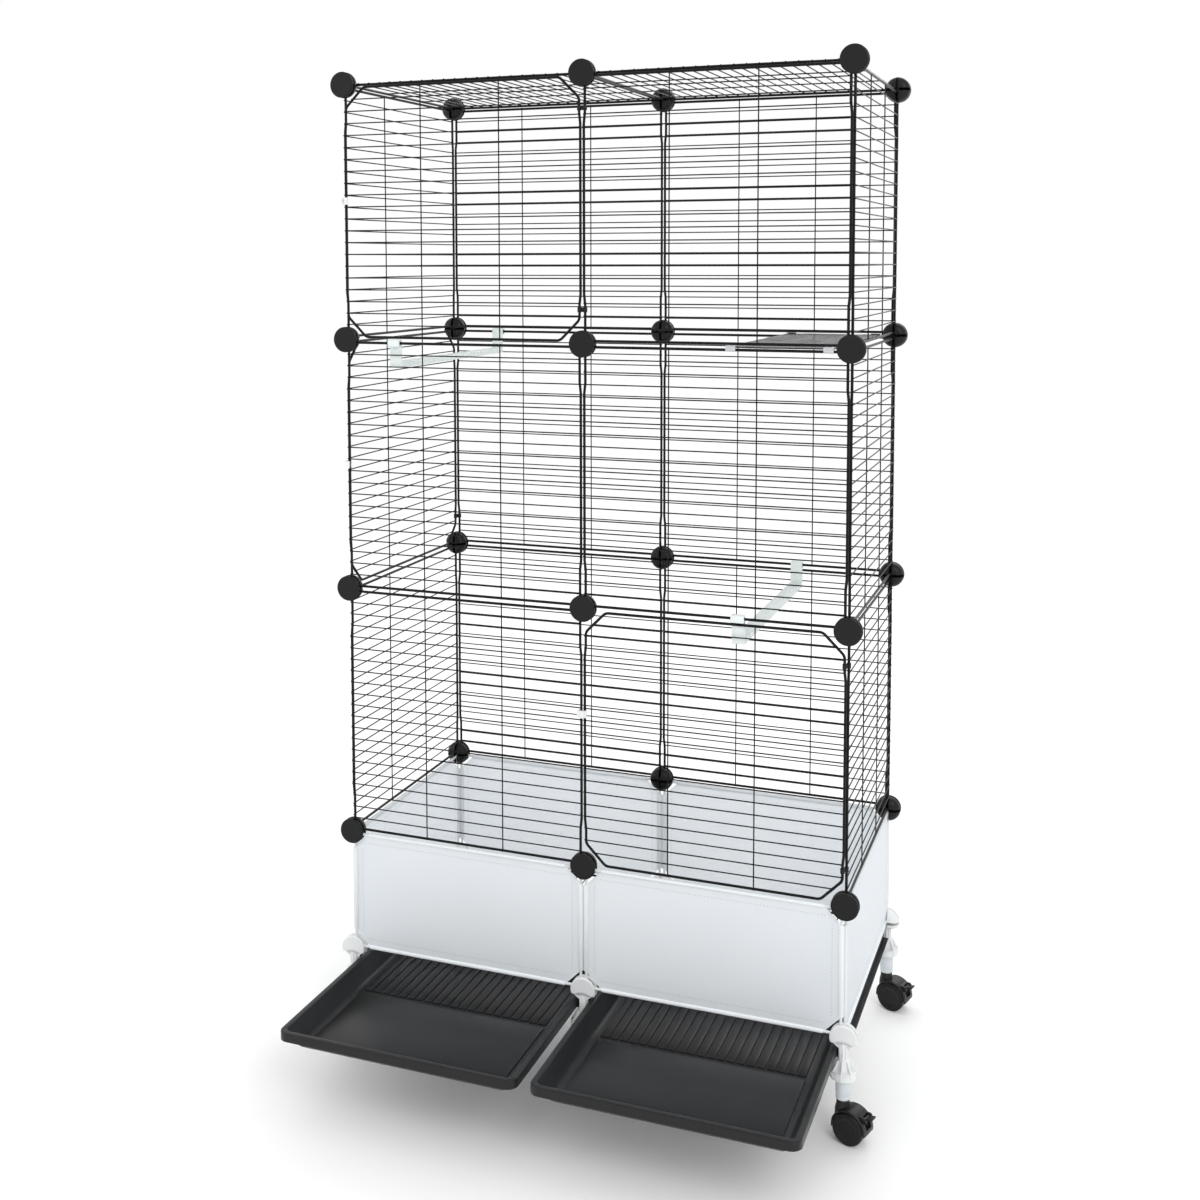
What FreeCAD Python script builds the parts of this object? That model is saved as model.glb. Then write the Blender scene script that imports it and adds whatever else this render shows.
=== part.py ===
# Parrot cage made of square wire panels held by round connectors: two bays wide, one deep and
# three tiers high, with a white skirt, two pull-out trays, three doors and six braked castors.
# Millimetres, Z up, floor at Z = 0, front at -Y, origin on the floor under the middle of the cage.
import FreeCAD
import Part
import Sketcher
import math
import os

doc = FreeCAD.newDocument("parrot_cage")
sheet = doc.addObject("Spreadsheet::Sheet", "sizes")


class Size:
    """A length that keeps its number together with the sheet expression it comes from."""

    def __init__(self, value, text):
        self.value = float(value)
        self.text = text

    def combine(self, other, sign, value_of, swap=False):
        if not isinstance(other, Size):
            other = Size(other, repr(float(other)))
        first, second = (other, self) if swap else (self, other)
        return Size(value_of(first.value, second.value), "(%s %s %s)" % (first.text, sign, second.text))

    def __add__(self, other):
        return self.combine(other, "+", lambda a, b: a + b)

    def __radd__(self, other):
        return self.combine(other, "+", lambda a, b: a + b, True)

    def __sub__(self, other):
        return self.combine(other, "-", lambda a, b: a - b)

    def __rsub__(self, other):
        return self.combine(other, "-", lambda a, b: a - b, True)

    def __mul__(self, other):
        return self.combine(other, "*", lambda a, b: a * b)

    def __rmul__(self, other):
        return self.combine(other, "*", lambda a, b: a * b, True)

    def __truediv__(self, other):
        return self.combine(other, "/", lambda a, b: a / b)

    def __neg__(self):
        return self * -1.0

    def __float__(self):
        return self.value


row_count = 0


def size(alias, value):
    """Write one driving dimension into the sheet and hand it back as a Size."""
    global row_count
    row_count += 1
    sheet.set("A%d" % row_count, alias)
    sheet.set("B%d" % row_count, str(value))
    sheet.setAlias("B%d" % row_count, alias)
    return Size(value, "sizes." + alias)


# Wire panels
panel_span = size("panel_span", 347)
frame_wire = size("frame_wire", 3.8)
frame_spacing = size("frame_spacing", 8)
mesh_wire = size("mesh_wire", 1.6)
mesh_gaps = size("mesh_gaps", 21)
upright_gaps = size("upright_gaps", 3)
mesh_shift = size("mesh_shift", 0.8)
door_cut = size("door_cut", 28)
frame_bow = size("frame_bow", 1.5)
bow_start = size("bow_start", 126)
bow_full = size("bow_full", 112)

# Connectors
knob_radius = size("knob_radius", 18)
cap_thickness = size("cap_thickness", 3.4)
cap_bevel = size("cap_bevel", 0.9)
dome_base = size("dome_base", 3)
dome_height = size("dome_height", 13)
dome_tip_radius = size("dome_tip_radius", 9)
slot_fit = size("slot_fit", 0.1)
side_setback = size("side_setback", 7)

# Skirt panels
skirt_span = size("skirt_span", 166)
skirt_sheet = size("skirt_sheet", 1.2)
hem_wall = size("hem_wall", 0.7)
hem_fit = size("hem_fit", 0.05)
skirt_cut = size("skirt_cut", 22)

# Foot posts and castor sleeves
post_height = size("post_height", 132)
knob_flat = size("knob_flat", 6)
neck_radius = size("neck_radius", 6.4)
neck_length = size("neck_length", 27)
head_taper_half = size("head_taper_half", 14.5)
head_taper_length = size("head_taper_length", 6)
head_taper_depth = size("head_taper_depth", 8)
flange_radius = size("flange_radius", 17.5)
flange_seat = size("flange_seat", 2.6)
flange_slope = size("flange_slope", 13.5)
flange_length = size("flange_length", 24)
sleeve_radius = size("sleeve_radius", 10)
sleeve_taper = size("sleeve_taper", 0.6)
sleeve_length = size("sleeve_length", 28.5)
spigot_radius = size("spigot_radius", 6)
spigot_length = size("spigot_length", 18)
plug_fit = size("plug_fit", 0.08)

# Castors
castor_turn = size("castor_turn", -17)
castor_trail = size("castor_trail", 13)
wheel_radius = size("wheel_radius", 21)
wheel_width = size("wheel_width", 13)
wheel_side_gap = size("wheel_side_gap", 0.5)
wheel_bevel = size("wheel_bevel", 1.6)
hub_dish = size("hub_dish", 1.2)
hub_dish_radius = size("hub_dish_radius", 12.5)
web_thickness = size("web_thickness", 5)
hood_gap = size("hood_gap", 0.8)
hood_wall = size("hood_wall", 2)
hood_inset = size("hood_inset", 2.5)
hood_skirt = size("hood_skirt", 3)
boss_radius = size("boss_radius", 8.5)
boss_gap = size("boss_gap", 0.5)
stem_radius = size("stem_radius", 4)
stem_length = size("stem_length", 21)
axle_radius = size("axle_radius", 3)
run_fit = size("run_fit", 0.06)
pedal_reach = size("pedal_reach", 10)
pedal_rise = size("pedal_rise", 2.5)
pedal_width = size("pedal_width", 12)
pedal_thickness = size("pedal_thickness", 3)
pedal_hub_radius = size("pedal_hub_radius", 2.4)
pedal_pin_radius = size("pedal_pin_radius", 1.5)
pedal_out = size("pedal_out", 20.5)
pedal_up = size("pedal_up", 16.5)
lug_thickness = size("lug_thickness", 2.6)
lug_radius = size("lug_radius", 3.6)
clear_gap = size("clear_gap", 0.4)

# Trays and runners
tray_side_gap = size("tray_side_gap", 8.5)
tray_length = size("tray_length", 360)
tray_pull = size("tray_pull", 212)
tray_front_reach = size("tray_front_reach", 12)
tray_drop = size("tray_drop", 13)
tray_lip_height = size("tray_lip_height", 11.5)
tray_wall = size("tray_wall", 2.2)
tray_lip_width = size("tray_lip_width", 8)
tray_depth = size("tray_depth", 25)
tray_slope = size("tray_slope", 13)
tray_corner = size("tray_corner", 14)
tray_floor_rise = size("tray_floor_rise", 1.6)
tray_rib_count = size("tray_rib_count", 20)
tray_rib_width = size("tray_rib_width", 2)
tray_rib_share = size("tray_rib_share", 0.52)
tray_band_width = size("tray_band_width", 9)
runner_thickness = size("runner_thickness", 1.8)
runner_height = size("runner_height", 13)
runner_shelf = size("runner_shelf", 16)
runner_web_place = size("runner_web_place", 4.2)
runner_overhang = size("runner_overhang", 3)

# Perches and rest platform
perch_width = size("perch_width", 18)
perch_thickness = size("perch_thickness", 8)
perch_drop = size("perch_drop", 34)
hook_thickness = size("hook_thickness", 3)
hook_fit = size("hook_fit", 0.2)
hook_lip = size("hook_lip", 10)
perch_high_place = size("perch_high_place", 0.215)
perch_low_place = size("perch_low_place", 0.60)
platform_start = size("platform_start", 0.55)
platform_end = size("platform_end", 0.94)
platform_thickness = size("platform_thickness", 3)
platform_overhang = size("platform_overhang", 2.6)
end_clip_width = size("end_clip_width", 13)
end_clip_metal = size("end_clip_metal", 0.8)
end_clip_reach = size("end_clip_reach", 9)
end_clip_drop = size("end_clip_drop", 6)

# Door hinge clips and latches
clip_height = size("clip_height", 7)
clip_wall = size("clip_wall", 1)
clip_rows = size("clip_rows", 8)
latch_height = size("latch_height", 10)
latch_ring_wall = size("latch_ring_wall", 0.8)
latch_wall = size("latch_wall", 2.5)
latch_clear = size("latch_clear", 0.35)
latch_hold = size("latch_hold", 1.5)
doc.recompute()

# Places that follow from the sizes above
pitch = panel_span + frame_spacing
depth = panel_span + 2 * side_setback
wire_radius = frame_wire / 2
half_span = panel_span / 2
bowed = half_span + frame_bow
half_spacing = frame_spacing / 2
front_y = -depth / 2
back_y = depth / 2
row_low = post_height + skirt_span + frame_spacing
row_3 = row_low + pitch
row_2 = row_3 + pitch
row_1 = row_2 + pitch
mesh_pitch = panel_span / mesh_gaps
low_z = row_low + pitch / 2
middle_z = row_3 + pitch / 2
top_z = row_2 + pitch / 2
skirt_z = post_height + (skirt_span + frame_spacing) / 2
left_x = -pitch / 2
right_x = pitch / 2


def new_body(label):
    body = doc.addObject("PartDesign::Body", label)
    return body


def new_sketch(body, plane, label, lift=None):
    """A sketch on one of the body's own origin planes, raised along its normal by lift."""
    sketch = body.newObject("Sketcher::SketchObject", label)
    support = [item for item in body.Origin.OriginFeatures if item.Role == plane][0]
    sketch.AttachmentSupport = (support, "")
    sketch.MapMode = "FlatFace"
    if lift is not None:
        sketch.AttachmentOffset = FreeCAD.Placement(FreeCAD.Vector(0, 0, float(lift)), FreeCAD.Rotation())
        sketch.setExpression("AttachmentOffset.Base.z", lift.text)
    return sketch


def bind(sketch, constraint, measure):
    """Add a constraint and tie its value to the measure's sheet expression."""
    index = sketch.addConstraint(constraint)
    if isinstance(measure, Size):
        sketch.setExpression("Constraints[%d]" % index, measure.text)


def place_point(sketch, geometry, position, x, y):
    """Hold a point at x, y from the sketch's origin."""
    bind(sketch, Sketcher.Constraint("DistanceX", -1, 1, geometry, position, float(x)), x)
    bind(sketch, Sketcher.Constraint("DistanceY", -1, 1, geometry, position, float(y)), y)


def outline(sketch, points):
    """A closed outline of straight lines through the points."""
    first = sketch.GeometryCount
    count = len(points)
    for index in range(count):
        start = points[index]
        end = points[(index + 1) % count]
        sketch.addGeometry(Part.LineSegment(FreeCAD.Vector(float(start[0]), float(start[1]), 0),
                                            FreeCAD.Vector(float(end[0]), float(end[1]), 0)), False)
    for index in range(count):
        following = first + (index + 1) % count
        sketch.addConstraint(Sketcher.Constraint("Coincident", first + index, 2, following, 1))
    for index, point in enumerate(points):
        place_point(sketch, first + index, 1, point[0], point[1])


def rectangle(sketch, x_low, x_high, y_low, y_high):
    outline(sketch, [(x_low, y_low), (x_high, y_low), (x_high, y_high), (x_low, y_high)])


def circle(sketch, x, y, radius):
    middle = FreeCAD.Vector(float(x), float(y), 0)
    index = sketch.addGeometry(Part.Circle(middle, FreeCAD.Vector(0, 0, 1), float(radius)), False)
    place_point(sketch, index, 3, x, y)
    bind(sketch, Sketcher.Constraint("Radius", index, float(radius)), radius)


def rounded_rectangle(sketch, x_low, x_high, y_low, y_high, corner):
    """A rectangle with four equal rounded corners."""
    xl, xh, yl, yh, r = [float(item) for item in (x_low, x_high, y_low, y_high, corner)]
    vector = FreeCAD.Vector
    up = vector(0, 0, 1)
    quarter = math.pi / 2
    lines = [((xl + r, yl), (xh - r, yl)), ((xh, yl + r), (xh, yh - r)),
             ((xh - r, yh), (xl + r, yh)), ((xl, yh - r), (xl, yl + r))]
    arcs = [((xh - r, yl + r), 3 * quarter), ((xh - r, yh - r), 0.0),
            ((xl + r, yh - r), quarter), ((xl + r, yl + r), 2 * quarter)]
    for start, end in lines:
        sketch.addGeometry(Part.LineSegment(vector(start[0], start[1], 0), vector(end[0], end[1], 0)), False)
    for middle, turn in arcs:
        ring = Part.Circle(vector(middle[0], middle[1], 0), up, r)
        sketch.addGeometry(Part.ArcOfCircle(ring, turn, turn + quarter), False)
    for index in range(4):
        sketch.addConstraint(Sketcher.Constraint("Tangent", index, 2, 4 + index, 1))
        sketch.addConstraint(Sketcher.Constraint("Tangent", 4 + index, 2, (index + 1) % 4, 1))
    for index, way in enumerate(("Horizontal", "Vertical", "Horizontal", "Vertical")):
        sketch.addConstraint(Sketcher.Constraint(way, index))
    for index in (5, 6, 7):
        sketch.addConstraint(Sketcher.Constraint("Equal", 4, index))
    bind(sketch, Sketcher.Constraint("Radius", 4, r), corner)
    bind(sketch, Sketcher.Constraint("DistanceY", -1, 1, 0, 1, yl), y_low)
    bind(sketch, Sketcher.Constraint("DistanceX", -1, 1, 1, 1, xh), x_high)
    bind(sketch, Sketcher.Constraint("DistanceY", -1, 1, 2, 1, yh), y_high)
    bind(sketch, Sketcher.Constraint("DistanceX", -1, 1, 3, 1, xl), x_low)


def feature(body, kind, sketch, label, length=None, both_ways=False, backwards=False):
    """Pad or pocket a sketch by length."""
    made = body.newObject("PartDesign::" + kind, label)
    made.Profile = sketch
    if length is None:
        made.Type = "ThroughAll"
    else:
        made.Length = float(length)
        made.setExpression("Length", length.text)
    made.Midplane = both_ways
    made.Reversed = backwards
    doc.recompute()
    return made


def revolve(body, kind, sketch, label, axis):
    """Turn a sketch fully round one of its own axes."""
    made = body.newObject("PartDesign::" + kind, label)
    made.Profile = sketch
    made.ReferenceAxis = (sketch, [axis])
    made.Angle = 360
    doc.recompute()
    return made


def sweep_wire(body, path_points, start_height, radius, label):
    """A closed loop of round wire in the body's XZ plane, with small round corners."""
    path = new_sketch(body, "XZ_Plane", label + "_path")
    outline(path, path_points)
    profile = new_sketch(body, "YZ_Plane", label + "_profile")
    circle(profile, 0, start_height, radius)
    doc.recompute()
    wire = body.newObject("PartDesign::AdditivePipe", label)
    wire.Profile = profile
    wire.Spine = (path, [])
    wire.Transition = "Round corner"
    doc.recompute()
    return wire


def primitive(kind, label, place, **measures):
    """A Part primitive whose sizes are tied to the sheet."""
    made = doc.addObject("Part::" + kind, label)
    for name, measure in measures.items():
        setattr(made, name, float(measure))
        if isinstance(measure, Size):
            made.setExpression(name, measure.text)
    for axis, measure in zip("xyz", place):
        setattr(made.Placement.Base, axis, float(measure))
        if isinstance(measure, Size):
            made.setExpression("Placement.Base." + axis, measure.text)
    made.Placement.Base = FreeCAD.Vector(*[float(item) for item in place])
    return made


def block(label, x_low, x_high, y_low, y_high, z_low, z_high):
    """A box between two corners."""
    return primitive("Box", label, (x_low, y_low, z_low), Length=x_high - x_low, Width=y_high - y_low,
                     Height=z_high - z_low)


def fuse(label, pieces):
    made = doc.addObject("Part::MultiFuse", label)
    made.Shapes = pieces
    made.Refine = True
    doc.recompute()
    return made


def cut(label, base, tool):
    made = doc.addObject("Part::Cut", label)
    made.Base = base
    made.Tool = tool
    doc.recompute()
    return made


nodes = []


def piece(label, copies):
    """One node: copies of finished shapes, each put in its place."""
    shapes = []
    for source, place in copies:
        shape = source.Shape.copy()
        shape.Placement = place.multiply(shape.Placement)
        shapes.append(shape)
    made = doc.addObject("Part::Feature", label)
    made.Label = label
    made.Shape = shapes[0] if len(shapes) == 1 else Part.makeCompound(shapes)
    nodes.append(made)
    return made


def at(x, y, z, turn=0.0):
    """A place, turned about the vertical by turn degrees."""
    spin = FreeCAD.Rotation(FreeCAD.Vector(0, 0, 1), float(turn))
    return FreeCAD.Placement(FreeCAD.Vector(float(x), float(y), float(z)), spin)


def lying(x, y, z):
    """A place for a panel lying flat, outer side up and close wires running front to back."""
    tip = FreeCAD.Rotation(FreeCAD.Vector(1, 0, 0), -90)
    quarter = FreeCAD.Rotation(FreeCAD.Vector(0, 1, 0), 90)
    return FreeCAD.Placement(FreeCAD.Vector(float(x), float(y), float(z)), tip.multiply(quarter))


# Wire panel: a round frame wire and a welded mesh of close level wires and two uprights.
# The outer side faces -Y.
def wire_panel(label, path_points):
    body = new_body(label)
    plate_sketch = new_sketch(body, "XZ_Plane", label + "_mesh_outline", mesh_shift)
    outline(plate_sketch, path_points)
    feature(body, "Pad", plate_sketch, label + "_mesh", mesh_wire, both_ways=True)
    upright_pitch = bowed * 2 / upright_gaps
    hole_sketch = new_sketch(body, "XZ_Plane", label + "_mesh_opening", mesh_shift)
    rectangle(hole_sketch, mesh_wire / 2 - bowed, upright_pitch - mesh_wire / 2 - bowed,
              mesh_wire / 2 - half_span, mesh_pitch - mesh_wire / 2 - half_span)
    hole = feature(body, "Pocket", hole_sketch, label + "_opening", mesh_wire * 3, both_ways=True)
    grid = body.newObject("PartDesign::MultiTransform", label + "_openings")
    grid.Originals = [hole]
    across = body.newObject("PartDesign::LinearPattern", label + "_across")
    across.Direction = (hole_sketch, ["H_Axis"])
    across.Length = float(bowed * 2 - upright_pitch)
    across.setExpression("Length", (bowed * 2 - upright_pitch).text)
    across.Occurrences = int(float(upright_gaps))
    across.setExpression("Occurrences", upright_gaps.text)
    upward = body.newObject("PartDesign::LinearPattern", label + "_upward")
    upward.Direction = (hole_sketch, ["V_Axis"])
    upward.Length = float(panel_span - mesh_pitch)
    upward.setExpression("Length", (panel_span - mesh_pitch).text)
    upward.Occurrences = int(float(mesh_gaps))
    upward.setExpression("Occurrences", mesh_gaps.text)
    grid.Transformations = [across, upward]
    body.Tip = grid
    doc.recompute()
    sweep_wire(body, path_points, half_span, wire_radius, label + "_frame")
    return body


# Away from the connectors the two side wires of the frame stand out a little.
right_edge = [(half_span, bow_start), (bowed, bow_full), (bowed, -bow_full), (half_span, -bow_start)]
left_edge = [(-x, -z) for x, z in right_edge]
near = half_span - door_cut
square_path = ([(0, half_span), (half_span, half_span)] + right_edge
               + [(half_span, -half_span), (-half_span, -half_span)] + left_edge + [(-half_span, half_span)])
cut_path = ([(0, half_span), (near, half_span), (half_span, near)] + right_edge
            + [(half_span, -near), (near, -half_span), (-near, -half_span), (-half_span, -near)] + left_edge
            + [(-half_span, near), (-near, half_span)])
grid_panel = wire_panel("grid_panel", square_path)
door_panel = wire_panel("door_panel", cut_path)

piece("front_grid_top_right", [(grid_panel, at(right_x, front_y, top_z))])
piece("front_grid_middle_left", [(grid_panel, at(left_x, front_y, middle_z))])
piece("front_grid_middle_right", [(grid_panel, at(right_x, front_y, middle_z))])
piece("front_grid_low_left", [(grid_panel, at(left_x, front_y, low_z))])
for tier, tier_z in (("top", top_z), ("middle", middle_z), ("low", low_z)):
    piece("back_grid_%s_left" % tier, [(grid_panel, at(left_x, back_y, tier_z, 180))])
    piece("back_grid_%s_right" % tier, [(grid_panel, at(right_x, back_y, tier_z, 180))])
    piece("right_grid_%s" % tier, [(grid_panel, at(pitch, 0, tier_z, 90))])
    if tier != "middle":
        piece("left_grid_%s" % tier, [(grid_panel, at(-pitch, 0, tier_z, -90))])
piece("roof_grids", [(grid_panel, lying(left_x, 0, row_1)), (grid_panel, lying(right_x, 0, row_1))])
piece("floor_grids", [(grid_panel, lying(left_x, 0, post_height)),
                      (grid_panel, lying(right_x, 0, post_height))])

# Doors: the same panel with cut corners, so that it swings clear of the connectors.
piece("front_door_top", [(door_panel, at(left_x, front_y, top_z))])
piece("front_door_low", [(door_panel, at(right_x, front_y, low_z))])
piece("side_door", [(door_panel, at(-pitch, 0, middle_z, -90))])


# Connector: an outer cap, a cross rib that keeps neighbouring frames apart, and an inner dome
# with crossing slots for the panels that stand square to the face. The cap faces -Y.
slot_half = wire_radius + slot_fit
rib_half = half_spacing - wire_radius - slot_fit
rib_reach = knob_radius * 0.94


def connector_features(body, label):
    cap = new_sketch(body, "XY_Plane", label + "_cap_profile")
    cap_face = -slot_half - cap_thickness
    outline(cap, [(0, cap_face), (knob_radius - cap_bevel, cap_face), (knob_radius, cap_face + cap_bevel),
                  (knob_radius, -slot_half), (0, -slot_half)])
    revolve(body, "Revolution", cap, label + "_cap", "V_Axis")
    rib = new_sketch(body, "XZ_Plane", label + "_rib_outline")
    outline(rib, [(-rib_half, -rib_reach), (rib_half, -rib_reach), (rib_half, -rib_half),
                  (rib_reach, -rib_half), (rib_reach, rib_half), (rib_half, rib_half),
                  (rib_half, rib_reach), (-rib_half, rib_reach), (-rib_half, rib_half),
                  (-rib_reach, rib_half), (-rib_reach, -rib_half), (-rib_half, -rib_half)])
    feature(body, "Pad", rib, label + "_rib", slot_half * 2, both_ways=True)
    dome = new_sketch(body, "XY_Plane", label + "_dome_profile")
    dome_shoulder = slot_half + dome_base
    outline(dome, [(0, slot_half), (knob_radius, slot_half), (knob_radius, dome_shoulder),
                   (knob_radius * 0.86, slot_half + dome_height * 0.68),
                   (dome_tip_radius, slot_half + dome_height), (0, slot_half + dome_height)])
    revolve(body, "Revolution", dome, label + "_dome", "V_Axis")
    slots = new_sketch(body, "XZ_Plane", label + "_slot_outline", -(side_setback - slot_half))
    arm = knob_radius * 1.2
    outline(slots, [(-slot_half, -arm), (slot_half, -arm), (slot_half, -slot_half), (arm, -slot_half),
                    (arm, slot_half), (slot_half, slot_half), (slot_half, arm), (-slot_half, arm),
                    (-slot_half, slot_half), (-arm, slot_half), (-arm, -slot_half),
                    (-slot_half, -slot_half)])
    feature(body, "Pocket", slots, label + "_slots", dome_height * 2)


connector = new_body("connector")
connector_features(connector, "connector")
connector_places = []
for post_x in (-pitch, pitch * 0, pitch):
    for row_z in (row_1, row_2, row_3, row_low):
        connector_places.append((connector, at(post_x, front_y, row_z)))
        connector_places.append((connector, at(post_x, back_y, row_z, 180)))
piece("panel_connectors", connector_places)

# Skirt panel: a sheet with its four edges rolled round a steel frame wire, corners cut away.
half_skirt = skirt_span / 2
skirt_frame = new_body("skirt_frame")
sweep_wire(skirt_frame, [(0, half_skirt), (half_span, half_skirt), (half_span, -half_skirt),
                         (-half_span, -half_skirt), (-half_span, half_skirt)],
           half_skirt, wire_radius, "skirt_frame_wire")
skirt = new_body("skirt")
sheet_sketch = new_sketch(skirt, "XZ_Plane", "skirt_sheet_outline")
skirt_near_x = half_span - skirt_cut
skirt_near_z = half_skirt - skirt_cut
outline(sheet_sketch, [(-skirt_near_x, -half_skirt), (skirt_near_x, -half_skirt),
                       (half_span, -skirt_near_z), (half_span, skirt_near_z), (skirt_near_x, half_skirt),
                       (-skirt_near_x, half_skirt), (-half_span, skirt_near_z),
                       (-half_span, -skirt_near_z)])
feature(skirt, "Pad", sheet_sketch, "skirt_flat", skirt_sheet, both_ways=True)
hem_bore = wire_radius + hem_fit
for kind, hem_name, radius in (("Pad", "roll", hem_bore + hem_wall), ("Pocket", "bore", hem_bore)):
    level_hem = new_sketch(skirt, "YZ_Plane", "skirt_level_%s_outline" % hem_name)
    circle(level_hem, 0, half_skirt, radius)
    circle(level_hem, 0, -half_skirt, radius)
    spare = skirt_cut * 0 if kind == "Pad" else skirt_cut
    feature(skirt, kind, level_hem, "skirt_level_" + hem_name, (skirt_near_x + spare) * 2, both_ways=True)
    upright_hem = new_sketch(skirt, "XY_Plane", "skirt_upright_%s_outline" % hem_name)
    circle(upright_hem, half_span, 0, radius)
    circle(upright_hem, -half_span, 0, radius)
    feature(skirt, kind, upright_hem, "skirt_upright_" + hem_name, (skirt_near_z + spare) * 2,
            both_ways=True)
skirt_places = [("front_skirt_left", at(left_x, front_y, skirt_z)),
                ("front_skirt_right", at(right_x, front_y, skirt_z)),
                ("back_skirt_left", at(left_x, back_y, skirt_z, 180)),
                ("back_skirt_right", at(right_x, back_y, skirt_z, 180)),
                ("left_skirt", at(-pitch, 0, skirt_z, -90)),
                ("right_skirt", at(pitch, 0, skirt_z, 90))]
for skirt_label, skirt_place in skirt_places:
    piece(skirt_label, [(skirt, skirt_place)])
piece("skirt_frames", [(skirt_frame, skirt_place) for skirt_label, skirt_place in skirt_places])

# Foot post: a connector head with a flat underside that tapers into a neck, and a flange
# bored for the sleeve.
foot = new_body("foot")
connector_features(foot, "foot")
under = new_sketch(foot, "XZ_Plane", "foot_under_outline")
rectangle(under, -knob_radius * 1.2, knob_radius * 1.2, -knob_radius * 1.2, -knob_flat)
feature(foot, "Pocket", under, "foot_under", knob_radius * 4, both_ways=True)
taper = new_sketch(foot, "XZ_Plane", "foot_taper_outline")
taper_low = -knob_flat - head_taper_length
outline(taper, [(-neck_radius, taper_low), (neck_radius, taper_low), (head_taper_half, -knob_flat),
                (-head_taper_half, -knob_flat)])
feature(foot, "Pad", taper, "foot_taper", head_taper_depth, both_ways=True)
neck = new_sketch(foot, "XZ_Plane", "foot_neck_profile")
flange_top = -neck_length
flange_bottom = -neck_length - flange_length
neck_top = -(slot_half + hem_wall)
outline(neck, [(0, neck_top), (neck_radius, neck_top), (neck_radius, flange_top),
               (neck_radius + flange_seat, flange_top), (flange_radius, flange_top - flange_slope),
               (flange_radius, flange_bottom + cap_bevel), (flange_radius - cap_bevel, flange_bottom),
               (0, flange_bottom)])
revolve(foot, "Revolution", neck, "foot_neck", "V_Axis")
socket = new_sketch(foot, "XY_Plane", "foot_socket_outline", flange_bottom)
circle(socket, 0, 0, spigot_radius + plug_fit)
feature(foot, "Pocket", socket, "foot_socket", spigot_length + clear_gap, backwards=True)

# Castor sleeve: a tapered tube that plugs into the post and carries the castor's stem.
sleeve_top = post_height - neck_length - flange_length
sleeve_bottom = sleeve_top - sleeve_length
bore_radius = stem_radius + run_fit
bore_top = sleeve_bottom + stem_length + boss_gap
sleeve = new_body("sleeve")
sleeve_profile = new_sketch(sleeve, "XZ_Plane", "sleeve_profile")
outline(sleeve_profile, [(bore_radius, sleeve_bottom), (sleeve_radius - sleeve_taper, sleeve_bottom),
                         (sleeve_radius, sleeve_top), (spigot_radius, sleeve_top),
                         (spigot_radius, sleeve_top + spigot_length), (0, sleeve_top + spigot_length),
                         (0, bore_top), (bore_radius, bore_top)])
revolve(sleeve, "Revolution", sleeve_profile, "sleeve_tube", "V_Axis")

posts = []
for post_name, post_x in (("left", -pitch), ("middle", pitch * 0), ("right", pitch)):
    posts.append(("front_" + post_name, post_x, front_y, 0))
    posts.append(("back_" + post_name, post_x, back_y, 180))
piece("foot_posts", [(foot, at(x, y, post_height, turn)) for name, x, y, turn in posts])
piece("castor_sleeves", [(sleeve, at(x, y, 0)) for name, x, y, turn in posts])

# Castor hood: a web between the two wheels, an arched guard over them, a boss with the stem
# and two lugs for the brake pedal. The wheels trail towards +X.
guard_inside = wheel_radius + hood_gap
guard_radius = guard_inside + hood_wall
guard_half = web_thickness / 2 + wheel_side_gap + wheel_width - hood_inset
boss_top = sleeve_bottom - boss_gap
hood = new_body("hood")
guard_sketch = new_sketch(hood, "XZ_Plane", "hood_guard_outline")
circle(guard_sketch, castor_trail, wheel_radius, guard_radius)
feature(hood, "Pad", guard_sketch, "hood_guard", guard_half * 2, both_ways=True)
boss_sketch = new_sketch(hood, "XY_Plane", "hood_boss_outline", wheel_radius)
circle(boss_sketch, 0, 0, boss_radius)
feature(hood, "Pad", boss_sketch, "hood_boss", boss_top - wheel_radius)
lug_half = pedal_width / 2 + clear_gap + lug_thickness
pin_x = castor_trail + pedal_out
pin_z = wheel_radius + pedal_up
lug_sketch = new_sketch(hood, "XZ_Plane", "hood_lug_outline")
outline(lug_sketch, [(castor_trail, pin_z - lug_radius), (pin_x + lug_radius, pin_z - lug_radius),
                     (pin_x + lug_radius, pin_z + lug_radius * 0.5), (pin_x, pin_z + lug_radius),
                     (castor_trail, pin_z + lug_radius * 2)])
feature(hood, "Pad", lug_sketch, "hood_lugs", lug_half * 2, both_ways=True)
gap_sketch = new_sketch(hood, "XZ_Plane", "hood_pedal_gap_outline")
gap_floor = wheel_radius + guard_radius * 0.12
rectangle(gap_sketch, pin_x - pedal_hub_radius - clear_gap, pin_x + lug_radius * 2, gap_floor,
          pin_z + lug_radius * 3)
feature(hood, "Pocket", gap_sketch, "hood_pedal_gap", pedal_width + clear_gap * 2, both_ways=True)
for side, direction in (("near", False), ("far", True)):
    pocket_lift = web_thickness / 2
    bay = new_sketch(hood, "XZ_Plane", "hood_%s_bay_outline" % side, -pocket_lift if direction else pocket_lift)
    circle(bay, castor_trail, wheel_radius, guard_inside)
    feature(hood, "Pocket", bay, "hood_%s_bay" % side, guard_half * 2, backwards=not direction)
open_sketch = new_sketch(hood, "XZ_Plane", "hood_open_outline")
under_edge = wheel_radius - hood_skirt
rectangle(open_sketch, castor_trail - guard_radius * 1.2, castor_trail + guard_radius * 1.2,
          under_edge - guard_radius * 1.5, under_edge)
feature(hood, "Pocket", open_sketch, "hood_open", guard_half * 4, both_ways=True)
axle_block = new_sketch(hood, "XZ_Plane", "hood_axle_block_outline")
circle(axle_block, castor_trail, wheel_radius, axle_radius * 2.2)
feature(hood, "Pad", axle_block, "hood_axle_block", web_thickness, both_ways=True)
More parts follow.
